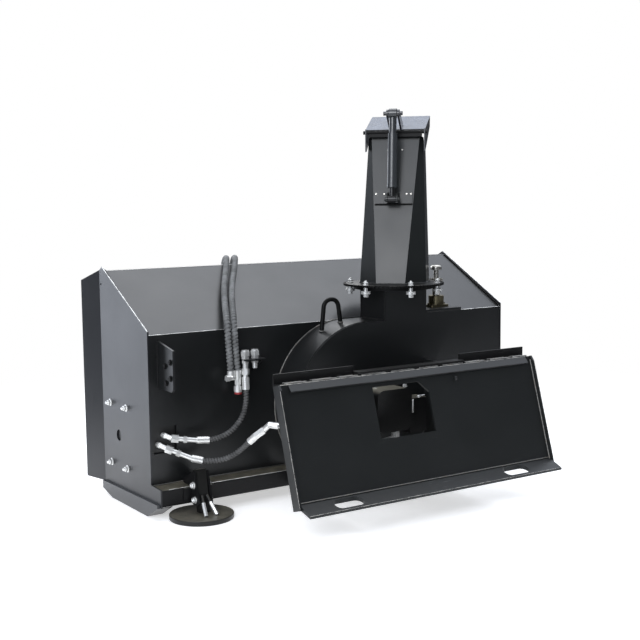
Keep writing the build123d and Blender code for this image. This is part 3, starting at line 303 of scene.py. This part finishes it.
def paint(name, colour, rough=0.36, dust_and_sheen=0.0, scuff=0.0, dust_and_sheen_colour=(0.20, 0.19, 0.17), specular=0.5):
    """Powder coat: fine orange peel, a slightly uneven sheen, faint dust and thin scratches. Up-facing faces
    blend toward dust_and_sheen_colour: settled dust on most paints, a painted sky reflection on the hood.
    """
    s = Shade(name)
    base = s.mix(s.ramp(s.noise(2.2, 3), 0.3, 0.7), colour, tuple(c * 1.12 for c in colour))
    specks = s.math("MULTIPLY", s.ramp(s.noise(210, 3, 0.7), 0.66, 0.78), 0.10 + 0.25 * dust_and_sheen)
    base = s.mix(specks, base, dust_and_sheen_colour)
    # Up-facing faces lighten toward the tint: settled dust, and on the hood a painted sky reflection.
    if dust_and_sheen:
        settled_dust_and_sheen = s.math("MULTIPLY", s.facing_up(), s.ramp(s.noise(24, 7, 0.7), 0.30, 0.70, 0.35, 1.0))
        base = s.mix(s.math("MULTIPLY", settled_dust_and_sheen, dust_and_sheen), base, dust_and_sheen_colour)
    rough_map = s.ramp(s.noise(5, 4, 0.6), 0.3, 0.75, rough - 0.03, rough + 0.04)
    if scuff:
        lines = s.noise(14, 2, 0.4, (1, 30, 30))
        scratch = s.math("MULTIPLY", s.ramp(lines, 0.67, 0.71), s.ramp(s.noise(6, 3), 0.48, 0.62))
        base = s.mix(s.math("MULTIPLY", scratch, scuff), base, (0.25, 0.25, 0.25))
        rough_map = s.math("ADD", rough_map, s.math("MULTIPLY", scratch, 0.12))
    s.bump(s.noise(420, 2, 0.5), 0.00010, 0.4)
    return s.done(base, rough_map, specular=specular)


def metal(name, colour, rough=0.28, stain=(0.25, 0.2, 0.15), stained=0.3, metallic=0.95, grain=1.0):
    """Plated or bare metal with blotches, stains and fine tool marks."""
    s = Shade(name)
    base = s.mix(s.ramp(s.noise(70, 4), 0.35, 0.7), colour, tuple(c * (1 - 0.22 * grain) for c in colour))
    base = s.mix(s.math("MULTIPLY", s.ramp(s.noise(33, 6, 0.7), 0.52, 0.7), stained), base, stain)
    rough_map = s.ramp(s.noise(120, 4), 0.3, 0.7, rough - 0.08 * grain, rough + 0.12 * grain)
    s.bump(s.noise(600, 2, 0.5), 0.0002, 0.4 * grain)
    return s.done(base, rough_map, metallic=metallic)


def rubber(name, colour):
    """Hose cover: matt rubber with a fine grain and a little dust."""
    s = Shade(name)
    base = s.mix(s.ramp(s.noise(24, 5), 0.4, 0.7), colour, tuple(c * 1.9 for c in colour))
    base = s.mix(s.math("MULTIPLY", s.ramp(s.noise(90, 5, 0.7), 0.55, 0.75), 0.25), base, (0.2, 0.18, 0.15))
    s.bump(s.noise(500, 2), 0.0002, 0.5)
    return s.done(base, s.ramp(s.noise(40, 4), 0.3, 0.7, 0.5, 0.72))


BLACK = (0.0085, 0.0092, 0.0096)
LOOKS = {
    "housing_paint": paint("housing_paint", BLACK, 0.33, dust_and_sheen=0.03),
    "end_plate_paint": paint("end_plate_paint", (0.011, 0.012, 0.0145), 0.33, dust_and_sheen=0.03),
    "beam_paint": paint("beam_paint", (0.007, 0.007, 0.0075), 0.36, dust_and_sheen=0.75,
                        dust_and_sheen_colour=(0.24, 0.22, 0.165), specular=0.2),
    "shoe_paint": paint("shoe_paint", (0.020, 0.022, 0.026), 0.30, dust_and_sheen=0.06, scuff=0.5, specular=0.7),
    "mount_paint": paint("mount_paint", (0.0085, 0.0095, 0.0095), 0.38, dust_and_sheen=0.05, scuff=0.05),
    "lip_paint": paint("lip_paint", (0.010, 0.0115, 0.012), 0.36, dust_and_sheen=0.04, scuff=0.3, specular=0.34),
    "rail_paint": paint("rail_paint", (0.009, 0.009, 0.009), 0.38, dust_and_sheen=0.05, scuff=0.2, specular=0.22),
    "ring_paint": paint("ring_paint", (0.005, 0.005, 0.005), 0.42, dust_and_sheen=0.04, specular=0.14),
    "chute_paint": paint("chute_paint", (0.0110, 0.0126, 0.0124), 0.34, dust_and_sheen=0.03),
    # The hood's pale bluish top is a painted sky reflection, laid on its up-facing faces through the
    # dust-and-sheen tint.
    "hood_paint": paint("hood_paint", (0.010, 0.011, 0.014), 0.24, dust_and_sheen=0.34,
                        dust_and_sheen_colour=(0.36, 0.42, 0.56), specular=0.85),
    "auger_paint": paint("auger_paint", (0.012, 0.012, 0.012), 0.40, dust_and_sheen=0.1, scuff=0.5),
    "motor_paint": paint("motor_paint", (0.009, 0.009, 0.009), 0.38, dust_and_sheen=0.75,
                         dust_and_sheen_colour=(0.30, 0.28, 0.22)),
    "drive_plate": metal("drive_plate", (0.24, 0.21, 0.13), 0.34, stain=(0.07, 0.06, 0.04), stained=0.6),
    "foot_paint": paint("foot_paint", (0.008, 0.008, 0.0075), 0.34, dust_and_sheen=0.65,
                        dust_and_sheen_colour=(0.25, 0.23, 0.18), specular=0.35),
    "cylinder_paint": paint("cylinder_paint", (0.034, 0.037, 0.040), 0.24, dust_and_sheen=0.03, specular=0.75),
    "rod_paint": paint("rod_paint", (0.010, 0.010, 0.011), 0.30, dust_and_sheen=0.03),
    "zinc": metal("zinc", (0.86, 0.86, 0.84), 0.24, stained=0.05, metallic=0.62, grain=0.2),
    "worn_steel": metal("worn_steel", (0.25, 0.245, 0.23), 0.4, stained=0.6),
    "cast_bearing": paint("cast_bearing", (0.03, 0.03, 0.03), 0.6, dust_and_sheen=0.4),
    "pinion_steel": metal("pinion_steel", (0.62, 0.60, 0.55), 0.28, stained=0.25),
    "hose_rubber": rubber("hose_rubber", (0.055, 0.055, 0.055)),
    "guard_plastic": rubber("guard_plastic", (0.125, 0.128, 0.128)),
    "red_cap": rubber("red_cap", (0.26, 0.022, 0.026)),
}


def give(piece, look):
    piece.data.materials.clear()
    piece.data.materials.append(LOOKS[look])


for part in frame["record"]["subparts"]:
    shown = nodes[part["node"]]
    for material_slot in shown.material_slots:
        material_slot.material = LOOKS[part["material_slot"]]
for hose, look in hoses:
    give(hose, look)

# Folded and cut sheet has slightly rounded edges, which catch the light.
SOFT_EDGES = ("back_plate", "top_panel", "left_end_plate", "right_end_plate", "floor_plate", "mount_plate",
              "mount_bottom_lip", "mount_top_lip", "mount_side_flanges", "frame_arms", "top_rails",
              "fan_rear_plate", "neck_ring", "chute_ring", "chute_shell", "hood", "drive_bracket",
              "park_bracket", "port_bracket", "cylinder_bracket", "foot_brackets", "left_skid_shoe",
              "right_skid_shoe", "left_foot", "right_foot", "fan_motor", "auger_motor", "chute_motor",
              "auger_bearing", "cutting_edge")
EDGE_ROUNDING = 0.0012
for name in SOFT_EDGES:
    bevel = nodes[name].modifiers.new("rounded_edges", "BEVEL")
    bevel.width = EDGE_ROUNDING
    bevel.segments = 2
    bevel.limit_method = "ANGLE"
    bevel.angle_limit = math.radians(40)
    bevel.harden_normals = False


# ---- small turned and hexagonal pieces ------------------------------------------------------
def along(direction):
    """Rotation that takes +Z to this direction."""
    return Vector(direction).normalized().to_track_quat("Z", "Y").to_matrix().to_4x4()


def turned(bm, place, direction, profile, sides=24, spin=0.0):
    """Adds a closed turned shape; profile is (distance along, radius) pairs in millimetres."""
    to_world = Matrix.Translation(Vector(place)) @ along(direction) @ Matrix.Rotation(spin, 4, "Z")
    rings = []
    for height, radius in profile:
        ring = []
        for k in range(sides):
            angle = 2 * math.pi * k / sides
            local = Vector((radius * math.cos(angle), radius * math.sin(angle), height))
            ring.append(bm.verts.new(to_world @ local * MM))
        rings.append(ring)
    for low, high in zip(rings, rings[1:]):
        for k in range(sides):
            nxt = (k + 1) % sides
            bm.faces.new((low[k], low[nxt], high[nxt], high[k]))
    bm.faces.new(tuple(reversed(rings[0])))
    bm.faces.new(tuple(rings[-1]))


def hex_head(bm, place, direction, radius, height, spin=0.0):
    """Chamfered hexagon with a washer face below and a shallow dished top."""
    turned(bm, place, direction, [(0, radius * 1.22), (1.6, radius * 1.22), (1.9, radius * 1.16)], 28)
    turned(bm, place, direction, [(1.6, radius * 0.96), (2.2, radius), (height - 1.5, radius),
                                  (height, radius * 0.87)], 6, spin)
    turned(bm, place, direction, [(height - 0.4, radius * 0.80), (height + 0.3, radius * 0.78),
                                  (height + 0.5, radius * 0.5)], 24)


def thread(bm, place, direction, radius, length, pitch=1.5):
    """Bolt end with thread ridges."""
    profile = []
    at = 0.0
    while at < length - pitch:
        profile += [(at, radius * 0.88), (at + pitch / 2, radius)]
        at += pitch
    profile += [(length - 0.8, radius * 0.88), (length, radius * 0.7)]
    turned(bm, place, direction, profile, 18)


def finished(bm, name, look, body, angle=35):
    """Turns the bmesh into a riding piece."""
    mesh = bpy.data.meshes.new(name)
    bm.normal_update()
    bm.to_mesh(mesh)
    bm.free()
    made = new_object(name, mesh, angle)
    give(made, look)
    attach(made, body)
    return made


# Studs and nuts of the auger motor, on the left end plate.
END_PLATE_X = -830
AUGER_Y = 320
AUGER_Z = 248
bm = bmesh.new()
for dy in (-72, 72):
    for dz in (-114, 114):
        hex_head(bm, (END_PLATE_X, AUGER_Y + dy, AUGER_Z + dz), LEFT, 11, 12, random.random())
        thread(bm, (END_PLATE_X - 11, AUGER_Y + dy, AUGER_Z + dz), LEFT, 6, 9)
auger_bolts = finished(bm, "auger_motor_nuts", "zinc", "housing")
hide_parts("auger_motor_bolts")

# Keeper bolts of the turning ring: head, washer, sleeve and grooved roller.
KEEPER_CIRCLE_R = 172
bm = bmesh.new()
for k in range(6):
    angle = HEADING * -1 + k * math.pi / 3
    spot = Vector((RING[0] + KEEPER_CIRCLE_R * math.cos(angle),
                   RING[1] + KEEPER_CIRCLE_R * math.sin(angle), 0))
    hex_head(bm, spot + UP * 788, UP, 9.5, 12, random.random())
    thread(bm, spot + UP * 799.5, UP, 5, 6)
    turned(bm, spot + UP * 755, UP, [(0, 8), (11, 8), (24.6, 8), (33, 8)], 20)
    turned(bm, spot + UP * 754, UP, [(0, 17), (1, 19), (4, 19), (5, 17.5), (8, 17.5), (9, 19), (11, 19),
                                     (12, 17)], 30)
    turned(bm, spot + UP * 750.5, UP, [(-8, 9), (-7, 10), (3, 10), (4, 9)], 6)
keepers = finished(bm, "ring_keeper_bolts", "zinc", "chute")
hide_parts("ring_keepers")

# Bolts on the chute's back panel and through the cylinder bracket.
PANEL_RUN = 162
PANEL_RISE = 569
PANEL_FOOT_F = -87
PANEL_FOOT_Z = 788
lean = math.atan2(PANEL_RUN, PANEL_RISE)


def panel_forward(z):
    """How far forward the back panel lies at this height."""
    return PANEL_FOOT_F + PANEL_RUN * (z - PANEL_FOOT_Z) / PANEL_RISE


panel_out = FORWARD * -math.cos(lean) + UP * math.sin(lean)
bm = bmesh.new()
for across, z, proud in ((-28, 1304, 0), (28, 1304, 0), (-68, 1131, 6), (-36, 1131, 6), (52, 1131, 6),
                         (69, 1131, 6)):
    spot = chute_point(across, panel_forward(z), z) + panel_out * proud
    hex_head(bm, spot, panel_out, 2.6, 2.2, random.random())
panel_bolts = finished(bm, "chute_panel_bolts", "pinion_steel", "chute")
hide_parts("chute_bolts")

# A near-black strip along the lower edge of the bolted panel: a painted shadow line.
SHADOW_STRIP_Z = 1092
shadow_strip_start = chute_point(-73, panel_forward(SHADOW_STRIP_Z), SHADOW_STRIP_Z) + panel_out * 3
bm = bmesh.new()
turned(bm, shadow_strip_start, ACROSS, [(0, 1), (2, 3.4), (146, 3.4), (148, 1)], 8)
finished(bm, "panel_shadow_strip", "ring_paint", "chute")

# Park bracket bolts.
bm = bmesh.new()
for y, z in ((-14, 545), (-54, 562), (-20, 486), (-54, 506)):
    hex_head(bm, (-792, y, z), LEFT, 9, 7, random.random())
    hex_head(bm, (-784, y, z), RIGHT, 9, 5, random.random())
park_bolts = finished(bm, "park_bracket_nuts", "ring_paint", "housing")
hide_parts("park_bracket_bolts")

# Cross bolts of the two feet, round heads on the left and nuts on the right.
FOOT_X = 681
ROUND_HEAD = [(0, 13), (1.5, 13), (2, 10.5), (8, 10.5), (10, 8.5), (8.5, 5), (7, 4)]
bm = bmesh.new()
for middle in (-FOOT_X, FOOT_X):
    for up in (47, 99):
        y = -64 + up * 0.196
        z = 18 + up * 0.9806
        turned(bm, (middle - 29, y, z), LEFT, ROUND_HEAD, 24)
        hex_head(bm, (middle + 29, y, z), RIGHT, 10.5, 9, random.random())
        turned(bm, (middle - 30, y, z), RIGHT, [(0, 5.9), (60, 5.9)], 16)
foot_bolts = finished(bm, "foot_cross_bolts", "zinc", "housing")
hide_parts("foot_clamp_bolts")

# Bare sleeves over the stays of each foot.
for side, body in ((-1, "left_foot"), (1, "right_foot")):
    bm = bmesh.new()
    for spread in (-1, 1):
        low = Vector((side * FOOT_X + 22 * spread, -126, 15))
        high = Vector((side * FOOT_X + 10 * spread, -70, 80))
        turned(bm, low.lerp(high, 0.06), high - low, [(0, 6.2), (0.5, 7), (52, 7), (52.5, 6.2)], 6, 0.4)
    finished(bm, body + "_stay_sleeves", "zinc", body)

# Bolts and two short pipes seen through the window of the mount plate, and a lug under its hook.
bm = bmesh.new()
hex_head(bm, (-29, -205, 419), UP, 8, 9, 0.3)
hex_head(bm, (66, -262, 419), UP, 8, 9, 0.7)
hex_head(bm, (146, -244, 368), UP, 7, 8, 0.2)
turned(bm, (152, -244, 373), RIGHT, [(0, 2.6), (22, 2.6)], 12)
turned(bm, (87, -283, 322), UP, [(0, 2.6), (1, 3.8), (48, 3.8), (49, 2.6)], 16)
finished(bm, "motor_bolts", "zinc", "housing")
bm = bmesh.new()
turned(bm, mount_point(173, 50, 1), RIGHT, [(0, 8), (0.6, 9), (9.4, 9), (10, 8)], 20)
finished(bm, "mount_lug", "mount_paint", "housing")


# ---- worn edges and painted edge highlights ------------------------------------------------
def wear_and_highlight_edge(bm, points, reach=1.1):
    """A thin rounded line of bare metal along an edge: edge wear, and where bright, a painted edge highlight.
    """
    line = even_steps([Vector(p) * MM for p in points], 0.006)
    line.append(Vector(points[-1]) * MM)

    def uneven(distance, turn):
        return reach * MM * (0.72 + 0.2 * math.sin(distance * 61) + 0.16 * math.sin(distance * 173 + 1))

    vertices, faces = tube_rings(line, uneven, 6)
    made = [bm.verts.new(v) for v in vertices]
    for face in faces:
        bm.faces.new([made[i] for i in face])


# Zinc lines on the top edges of the back and end plates: edge wear, thickened on the end plates' slanted rims
# as painted highlights.
bm = bmesh.new()
wear_and_highlight_edge(bm, [(-824, 51.2, 648.4), (824, 51.2, 648.4)], 1.3)
for side in (-1, 1):
    wear_and_highlight_edge(bm, [(side * 829.0, 49, 662.5), (side * 829.0, 437, 871.5)], 2.2)
wear_and_highlight_edge(bm, [(-824, 422.6, 857.2), (824, 422.6, 857.2)], 1.0)
finished(bm, "housing_edge_wear_and_highlights", "zinc", "housing", 80)
# Light steel lines on the mount plate's top edge, flange edges and lower lip: edge wear that also serves as
# painted edge highlights.
bm = bmesh.new()
wear_and_highlight_edge(bm, [mount_point(-565, 1, 0), mount_point(565, 1, 0)], 1.2)
for side in (-1, 1):
    wear_and_highlight_edge(bm, [mount_point(side * 573, 22, 12), mount_point(side * 573, 412, 12)], 1.2)
wear_and_highlight_edge(bm, [(-564, -577.7, 102.4), (564, -577.7, 102.4)], 1.0)
finished(bm, "mount_edge_wear_and_highlights", "pinion_steel", "housing", 80)
# Zinc lines along the beams' top edges: edge wear that also serves as painted edge highlights.
bm = bmesh.new()
for side in (-1, 1):
    wear_and_highlight_edge(bm, [(side * 262, -25, 108.2), (side * 796, -25, 108.2)], 1.3)
finished(bm, "beam_edge_wear_and_highlights", "zinc", "housing", 80)

# The ring's wear lies just inside its teeth, clear of the pinion.
TOOTH_DEPTH = 14
ring_low, ring_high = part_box("chute_ring")
ring_radius = (ring_high[0] - ring_low[0]) / 2 / MM - TOOTH_DEPTH
turns = [k * math.pi / 60 for k in range(121)]
bm = bmesh.new()
for height in (ring_high[2] / MM - 0.6, ring_low[2] / MM + 0.6):
    wear_and_highlight_edge(bm, [(RING[0] + ring_radius * math.cos(turn), RING[1] + ring_radius * math.sin(turn), height)
                   for turn in turns], 1.1)
finished(bm, "ring_edge_wear", "worn_steel", "chute", 80)


# ---- weld beads -----------------------------------------------------------------------------
def bead(bm, points, radius=3.2):
    """A rippled weld bead along points in millimetres."""
    line = even_steps([Vector(p) * MM for p in points], 0.0016)
    if len(line) < 3:
        return

    def ripple(distance, turn):
        scallop = abs(math.sin(distance / 0.0042 * math.pi))
        uneven = 0.07 * math.sin(distance * 411) + 0.05 * math.sin(distance * 173)
        return radius * MM * (0.78 + 0.22 * scallop + uneven)

    vertices, faces = tube_rings(line, ripple, 8)
    made = [bm.verts.new(v) for v in vertices]
    for face in faces:
        bm.faces.new([made[i] for i in face])


def arc(centre, u, v, radius, start, end, steps=60):
    """Points of an arc in the plane of u and v; angles in degrees."""
    found = []
    for i in range(steps + 1):
        angle = math.radians(start + (end - start) * i / steps)
        found.append(Vector(centre) + Vector(u) * radius * math.cos(angle)
                     + Vector(v) * radius * math.sin(angle))
    return found


X_AXIS = (1, 0, 0)
Z_AXIS = (0, 0, 1)
bm = bmesh.new()
bead(bm, arc((0, BACK_Y - 1, DRUM_Z), X_AXIS, Z_AXIS, DRUM_R + 1, 90, 260))
for x in (-139, -53):
    bead(bm, arc((x, -15, DRUM_Z + math.sqrt(DRUM_R**2 - x**2) + 1), X_AXIS, (0, 1, 0), 9.5, 0, 360, 24), 2.6)
for side in (-1, 1):
    bead(bm, [(side * 262, BACK_Y - 1, 110), (side * 823, BACK_Y - 1, 110)], 3)
finished(bm, "bare_weld_beads", "worn_steel", "housing", 80)

bm = bmesh.new()
bead(bm, arc((0, DRUM_REAR_Y + 7, DRUM_Z), X_AXIS, Z_AXIS, DRUM_R + 0.5, 90, 268), 2.4)
bead(bm, [(0, BACK_Y - 1, 652), (92, BACK_Y - 1, 652)])
for y in (BACK_Y, DRUM_REAR_Y + 6):
    bead(bm, [(91, y - 1, 652), (91, y - 1, 767)], 2.6)
bead(bm, [(91, -100, 652), (91, 48, 652)])
bead(bm, [(92, -109, 766.5), (292, -109, 766.5)])
bead(bm, [(91, -108, 766.5), (91, 50, 766.5)])
bead(bm, [(293, -108, 766.5), (293, 50, 766.5)])
bead(bm, [(294, -108, 671), (468, -108, 671)], 2.6)
bead(bm, [(294, BACK_Y - 2, 671), (426, BACK_Y - 2, 671)], 2.6)
for side in (-1, 1):
    bead(bm, [(side * 823, 53, 653), (side * 823, 422, 861)], 2.8)
    bead(bm, [(side * 285, DRUM_REAR_Y - 1, 230), (side * 285, DRUM_REAR_Y - 1, 450)])
bead(bm, [(-792.5, BACK_Y - 1, 460), (-792.5, BACK_Y - 1, 626)], 2.6)
bead(bm, [(-480, BACK_Y - 1, 535), (-402, BACK_Y - 1, 535)], 2.4)
finished(bm, "housing_weld_beads", "rail_paint", "housing", 80)

bm = bmesh.new()
for side in (-1, 1):
    bead(bm, [mount_point(side * 564, 14, 1), mount_point(side * 564, MOUNT_RUN - 6, 1)], 3)
bead(bm, [mount_point(-560, 393, 1), mount_point(560, 393, 1)], 2.2)
for start, end in ((-540, -452), (-430, -330), (-318, -240), (-225, -120), (-96, 8), (30, 118), (140, 236),
                   (252, 345), (372, 470), (486, 558)):
    bead(bm, [(start, -390, 506), ((start + end) / 2, -389, 507), (end, -390, 506)], 4.2)
    bead(bm, [(start + 8, -364, 505), (end - 4, -364, 505)], 3)
finished(bm, "mount_weld_beads", "worn_steel", "housing", 80)

base = [(-56, -87), (56, -87), (130, -20), (130, 95)]
bm = bmesh.new()
bead(bm, [chute_point(-130, 95, 789), chute_point(-130, -20, 789), chute_point(-56, -87, 789),
          chute_point(56, -87, 789), chute_point(130, -20, 789), chute_point(130, 95, 789)], 3)
for start in (-23, -16, 16, 23):
    bead(bm, [chute_point(start, -5, 1098), chute_point(start, 8, 1138)], 2)
finished(bm, "chute_weld_beads", "chute_paint", "chute", 80)


# ---- hose end details -----------------------------------------------------------------------
def crimped(bm, start, end, radius, ridges=5):
    """Crimp ridges on a ferrule."""
    start = Vector(start)
    end = Vector(end)
    length = (end - start).length
    step = length / (ridges + 1)
    for k in range(ridges):
        at = step * (k + 0.6)
        done = at + step * 0.45
        turned(bm, start, end - start, [(at, radius), (at + 0.8, radius + 0.8), (done, radius + 0.8),
                                        (done + 0.8, radius)], 8, 0.3)


bm = bmesh.new()
crimped(bm, (-672, -5, 266), HOSE_A[0], 13, 6)
crimped(bm, (-472, -12, 476), HOSE_A[-1], 13, 6)
crimped(bm, (-700, -13, 206), HOSE_B[0], 13, 6)
crimped(bm, (-509, -144, 285), HOSE_B[-1], 13, 4)
crimped(bm, (-519, 11, 484), SUPPLY_LEFT[0], 14, 3)
crimped(bm, (-491, 11, 466), SUPPLY_RIGHT[0], 14, 4)
finished(bm, "hose_end_crimps", "zinc", "housing")


# ---- floor and light ------------------------------------------------------------------------
FLOOR_RADIUS = 9
FADE_START = 1.3
FADE_END = 3.2


def floor():
    """A plain pale floor that fades out into the pale surroundings."""
    mesh = bpy.data.meshes.new("floor")
    bm = bmesh.new()
    bmesh.ops.create_circle(bm, cap_ends=True, segments=96, radius=FLOOR_RADIUS)
    bm.to_mesh(mesh)
    bm.free()
    made = bpy.data.objects.new("floor", mesh)
    bpy.context.collection.objects.link(made)
    made.location.z = -0.0005
    s = Shade("floor")
    s.bsdf.inputs["Base Color"].default_value = (0.9, 0.9, 0.9, 1)
    s.bsdf.inputs["Roughness"].default_value = 0.9
    s.bsdf.inputs["Emission Color"].default_value = (1, 1, 1, 1)
    s.bsdf.inputs["Emission Strength"].default_value = 0.52
    distance = s.node("ShaderNodeVectorMath", Vector=s.place)
    distance.operation = "LENGTH"
    fade = s.ramp(distance.outputs["Value"], FADE_START, FADE_END)
    clear = s.tree.nodes.new("ShaderNodeBsdfTransparent")
    both = s.tree.nodes.new("ShaderNodeMixShader")
    s.put(both.inputs["Fac"], fade)
    s.put(both.inputs[1], s.bsdf.outputs["BSDF"])
    s.put(both.inputs[2], clear.outputs["BSDF"])
    s.put(s.tree.nodes["Material Output"].inputs["Surface"], both.outputs["Shader"])
    made.data.materials.append(s.material)


floor()


def area_light(name, place, target, size, power, colour=(1, 1, 1)):
    data = bpy.data.lights.new(name, "AREA")
    data.shape = "RECTANGLE"
    data.size, data.size_y = size
    data.energy = power
    data.color = colour
    lamp = bpy.data.objects.new(name, data)
    lamp.location = place
    lamp.rotation_euler = (Vector(target) - Vector(place)).to_track_quat("-Z", "Y").to_euler()
    bpy.context.collection.objects.link(lamp)


area_light("overhead", (0.4, 1.0, 4.2), (0, 0.2, 0.6), (4.5, 3.5), 80)
area_light("left_rear", (-3.8, -3.0, 3.2), (0, 0, 0.8), (1.6, 1.6), 55)
area_light("front_fill", (1.5, 4.5, 2.2), (0, 0.4, 0.4), (3.5, 2.5), 60)

# The studio around the part: bright overhead and to the left, dim behind it on the right.
world = bpy.data.worlds.new("studio")
world.use_nodes = True
bpy.context.scene.world = world
tree = world.node_tree
backdrop = tree.nodes["Background"]
backdrop.inputs["Color"].default_value = (1, 1, 1, 1)
backdrop.inputs["Strength"].default_value = 1.0
around = tree.nodes.new("ShaderNodeTexCoord").outputs["Generated"]
AMBIENT = 0.09
# Bright patches: direction, angle where each is full, angle where it ends, strength.
PATCHES = (((-0.18, 0.94, -0.26), 14, 37, 1.75),
           ((0.48, 0.14, 0.85), 22, 54, 1.55),
           ((-0.80, -0.45, 0.40), 14, 40, 2.1),
           ((0, 0, -1), 30, 85, 0.5),
           ((-0.10, 0.97, 0.20), 10, 27, 1.8))
total = None
for direction, inner, outer, strength in PATCHES:
    facing = tree.nodes.new("ShaderNodeVectorMath")
    facing.operation = "DOT_PRODUCT"
    tree.links.new(around, facing.inputs[0])
    facing.inputs[1].default_value = Vector(direction).normalized()
    lobe = tree.nodes.new("ShaderNodeMapRange")
    lobe.interpolation_type = "SMOOTHSTEP"
    lobe.inputs["From Min"].default_value = math.cos(math.radians(outer))
    lobe.inputs["From Max"].default_value = math.cos(math.radians(inner))
    lobe.inputs["To Max"].default_value = strength
    tree.links.new(facing.outputs["Value"], lobe.inputs["Value"])
    added = tree.nodes.new("ShaderNodeMath")
    added.inputs[1].default_value = AMBIENT
    tree.links.new(lobe.outputs["Result"], added.inputs[0])
    if total:
        tree.links.new(total, added.inputs[1])
    total = added.outputs[0]
ambient = tree.nodes.new("ShaderNodeBackground")
ambient.inputs["Color"].default_value = (0.90, 0.955, 1.06, 1)
tree.links.new(total, ambient.inputs["Strength"])
seen = tree.nodes.new("ShaderNodeLightPath")
either = tree.nodes.new("ShaderNodeMixShader")
tree.links.new(seen.outputs["Is Camera Ray"], either.inputs["Fac"])
tree.links.new(ambient.outputs["Background"], either.inputs[1])
tree.links.new(backdrop.outputs["Background"], either.inputs[2])
tree.links.new(either.outputs["Shader"], tree.nodes["World Output"].inputs["Surface"])
bpy.context.scene.view_settings.view_transform = "Standard"
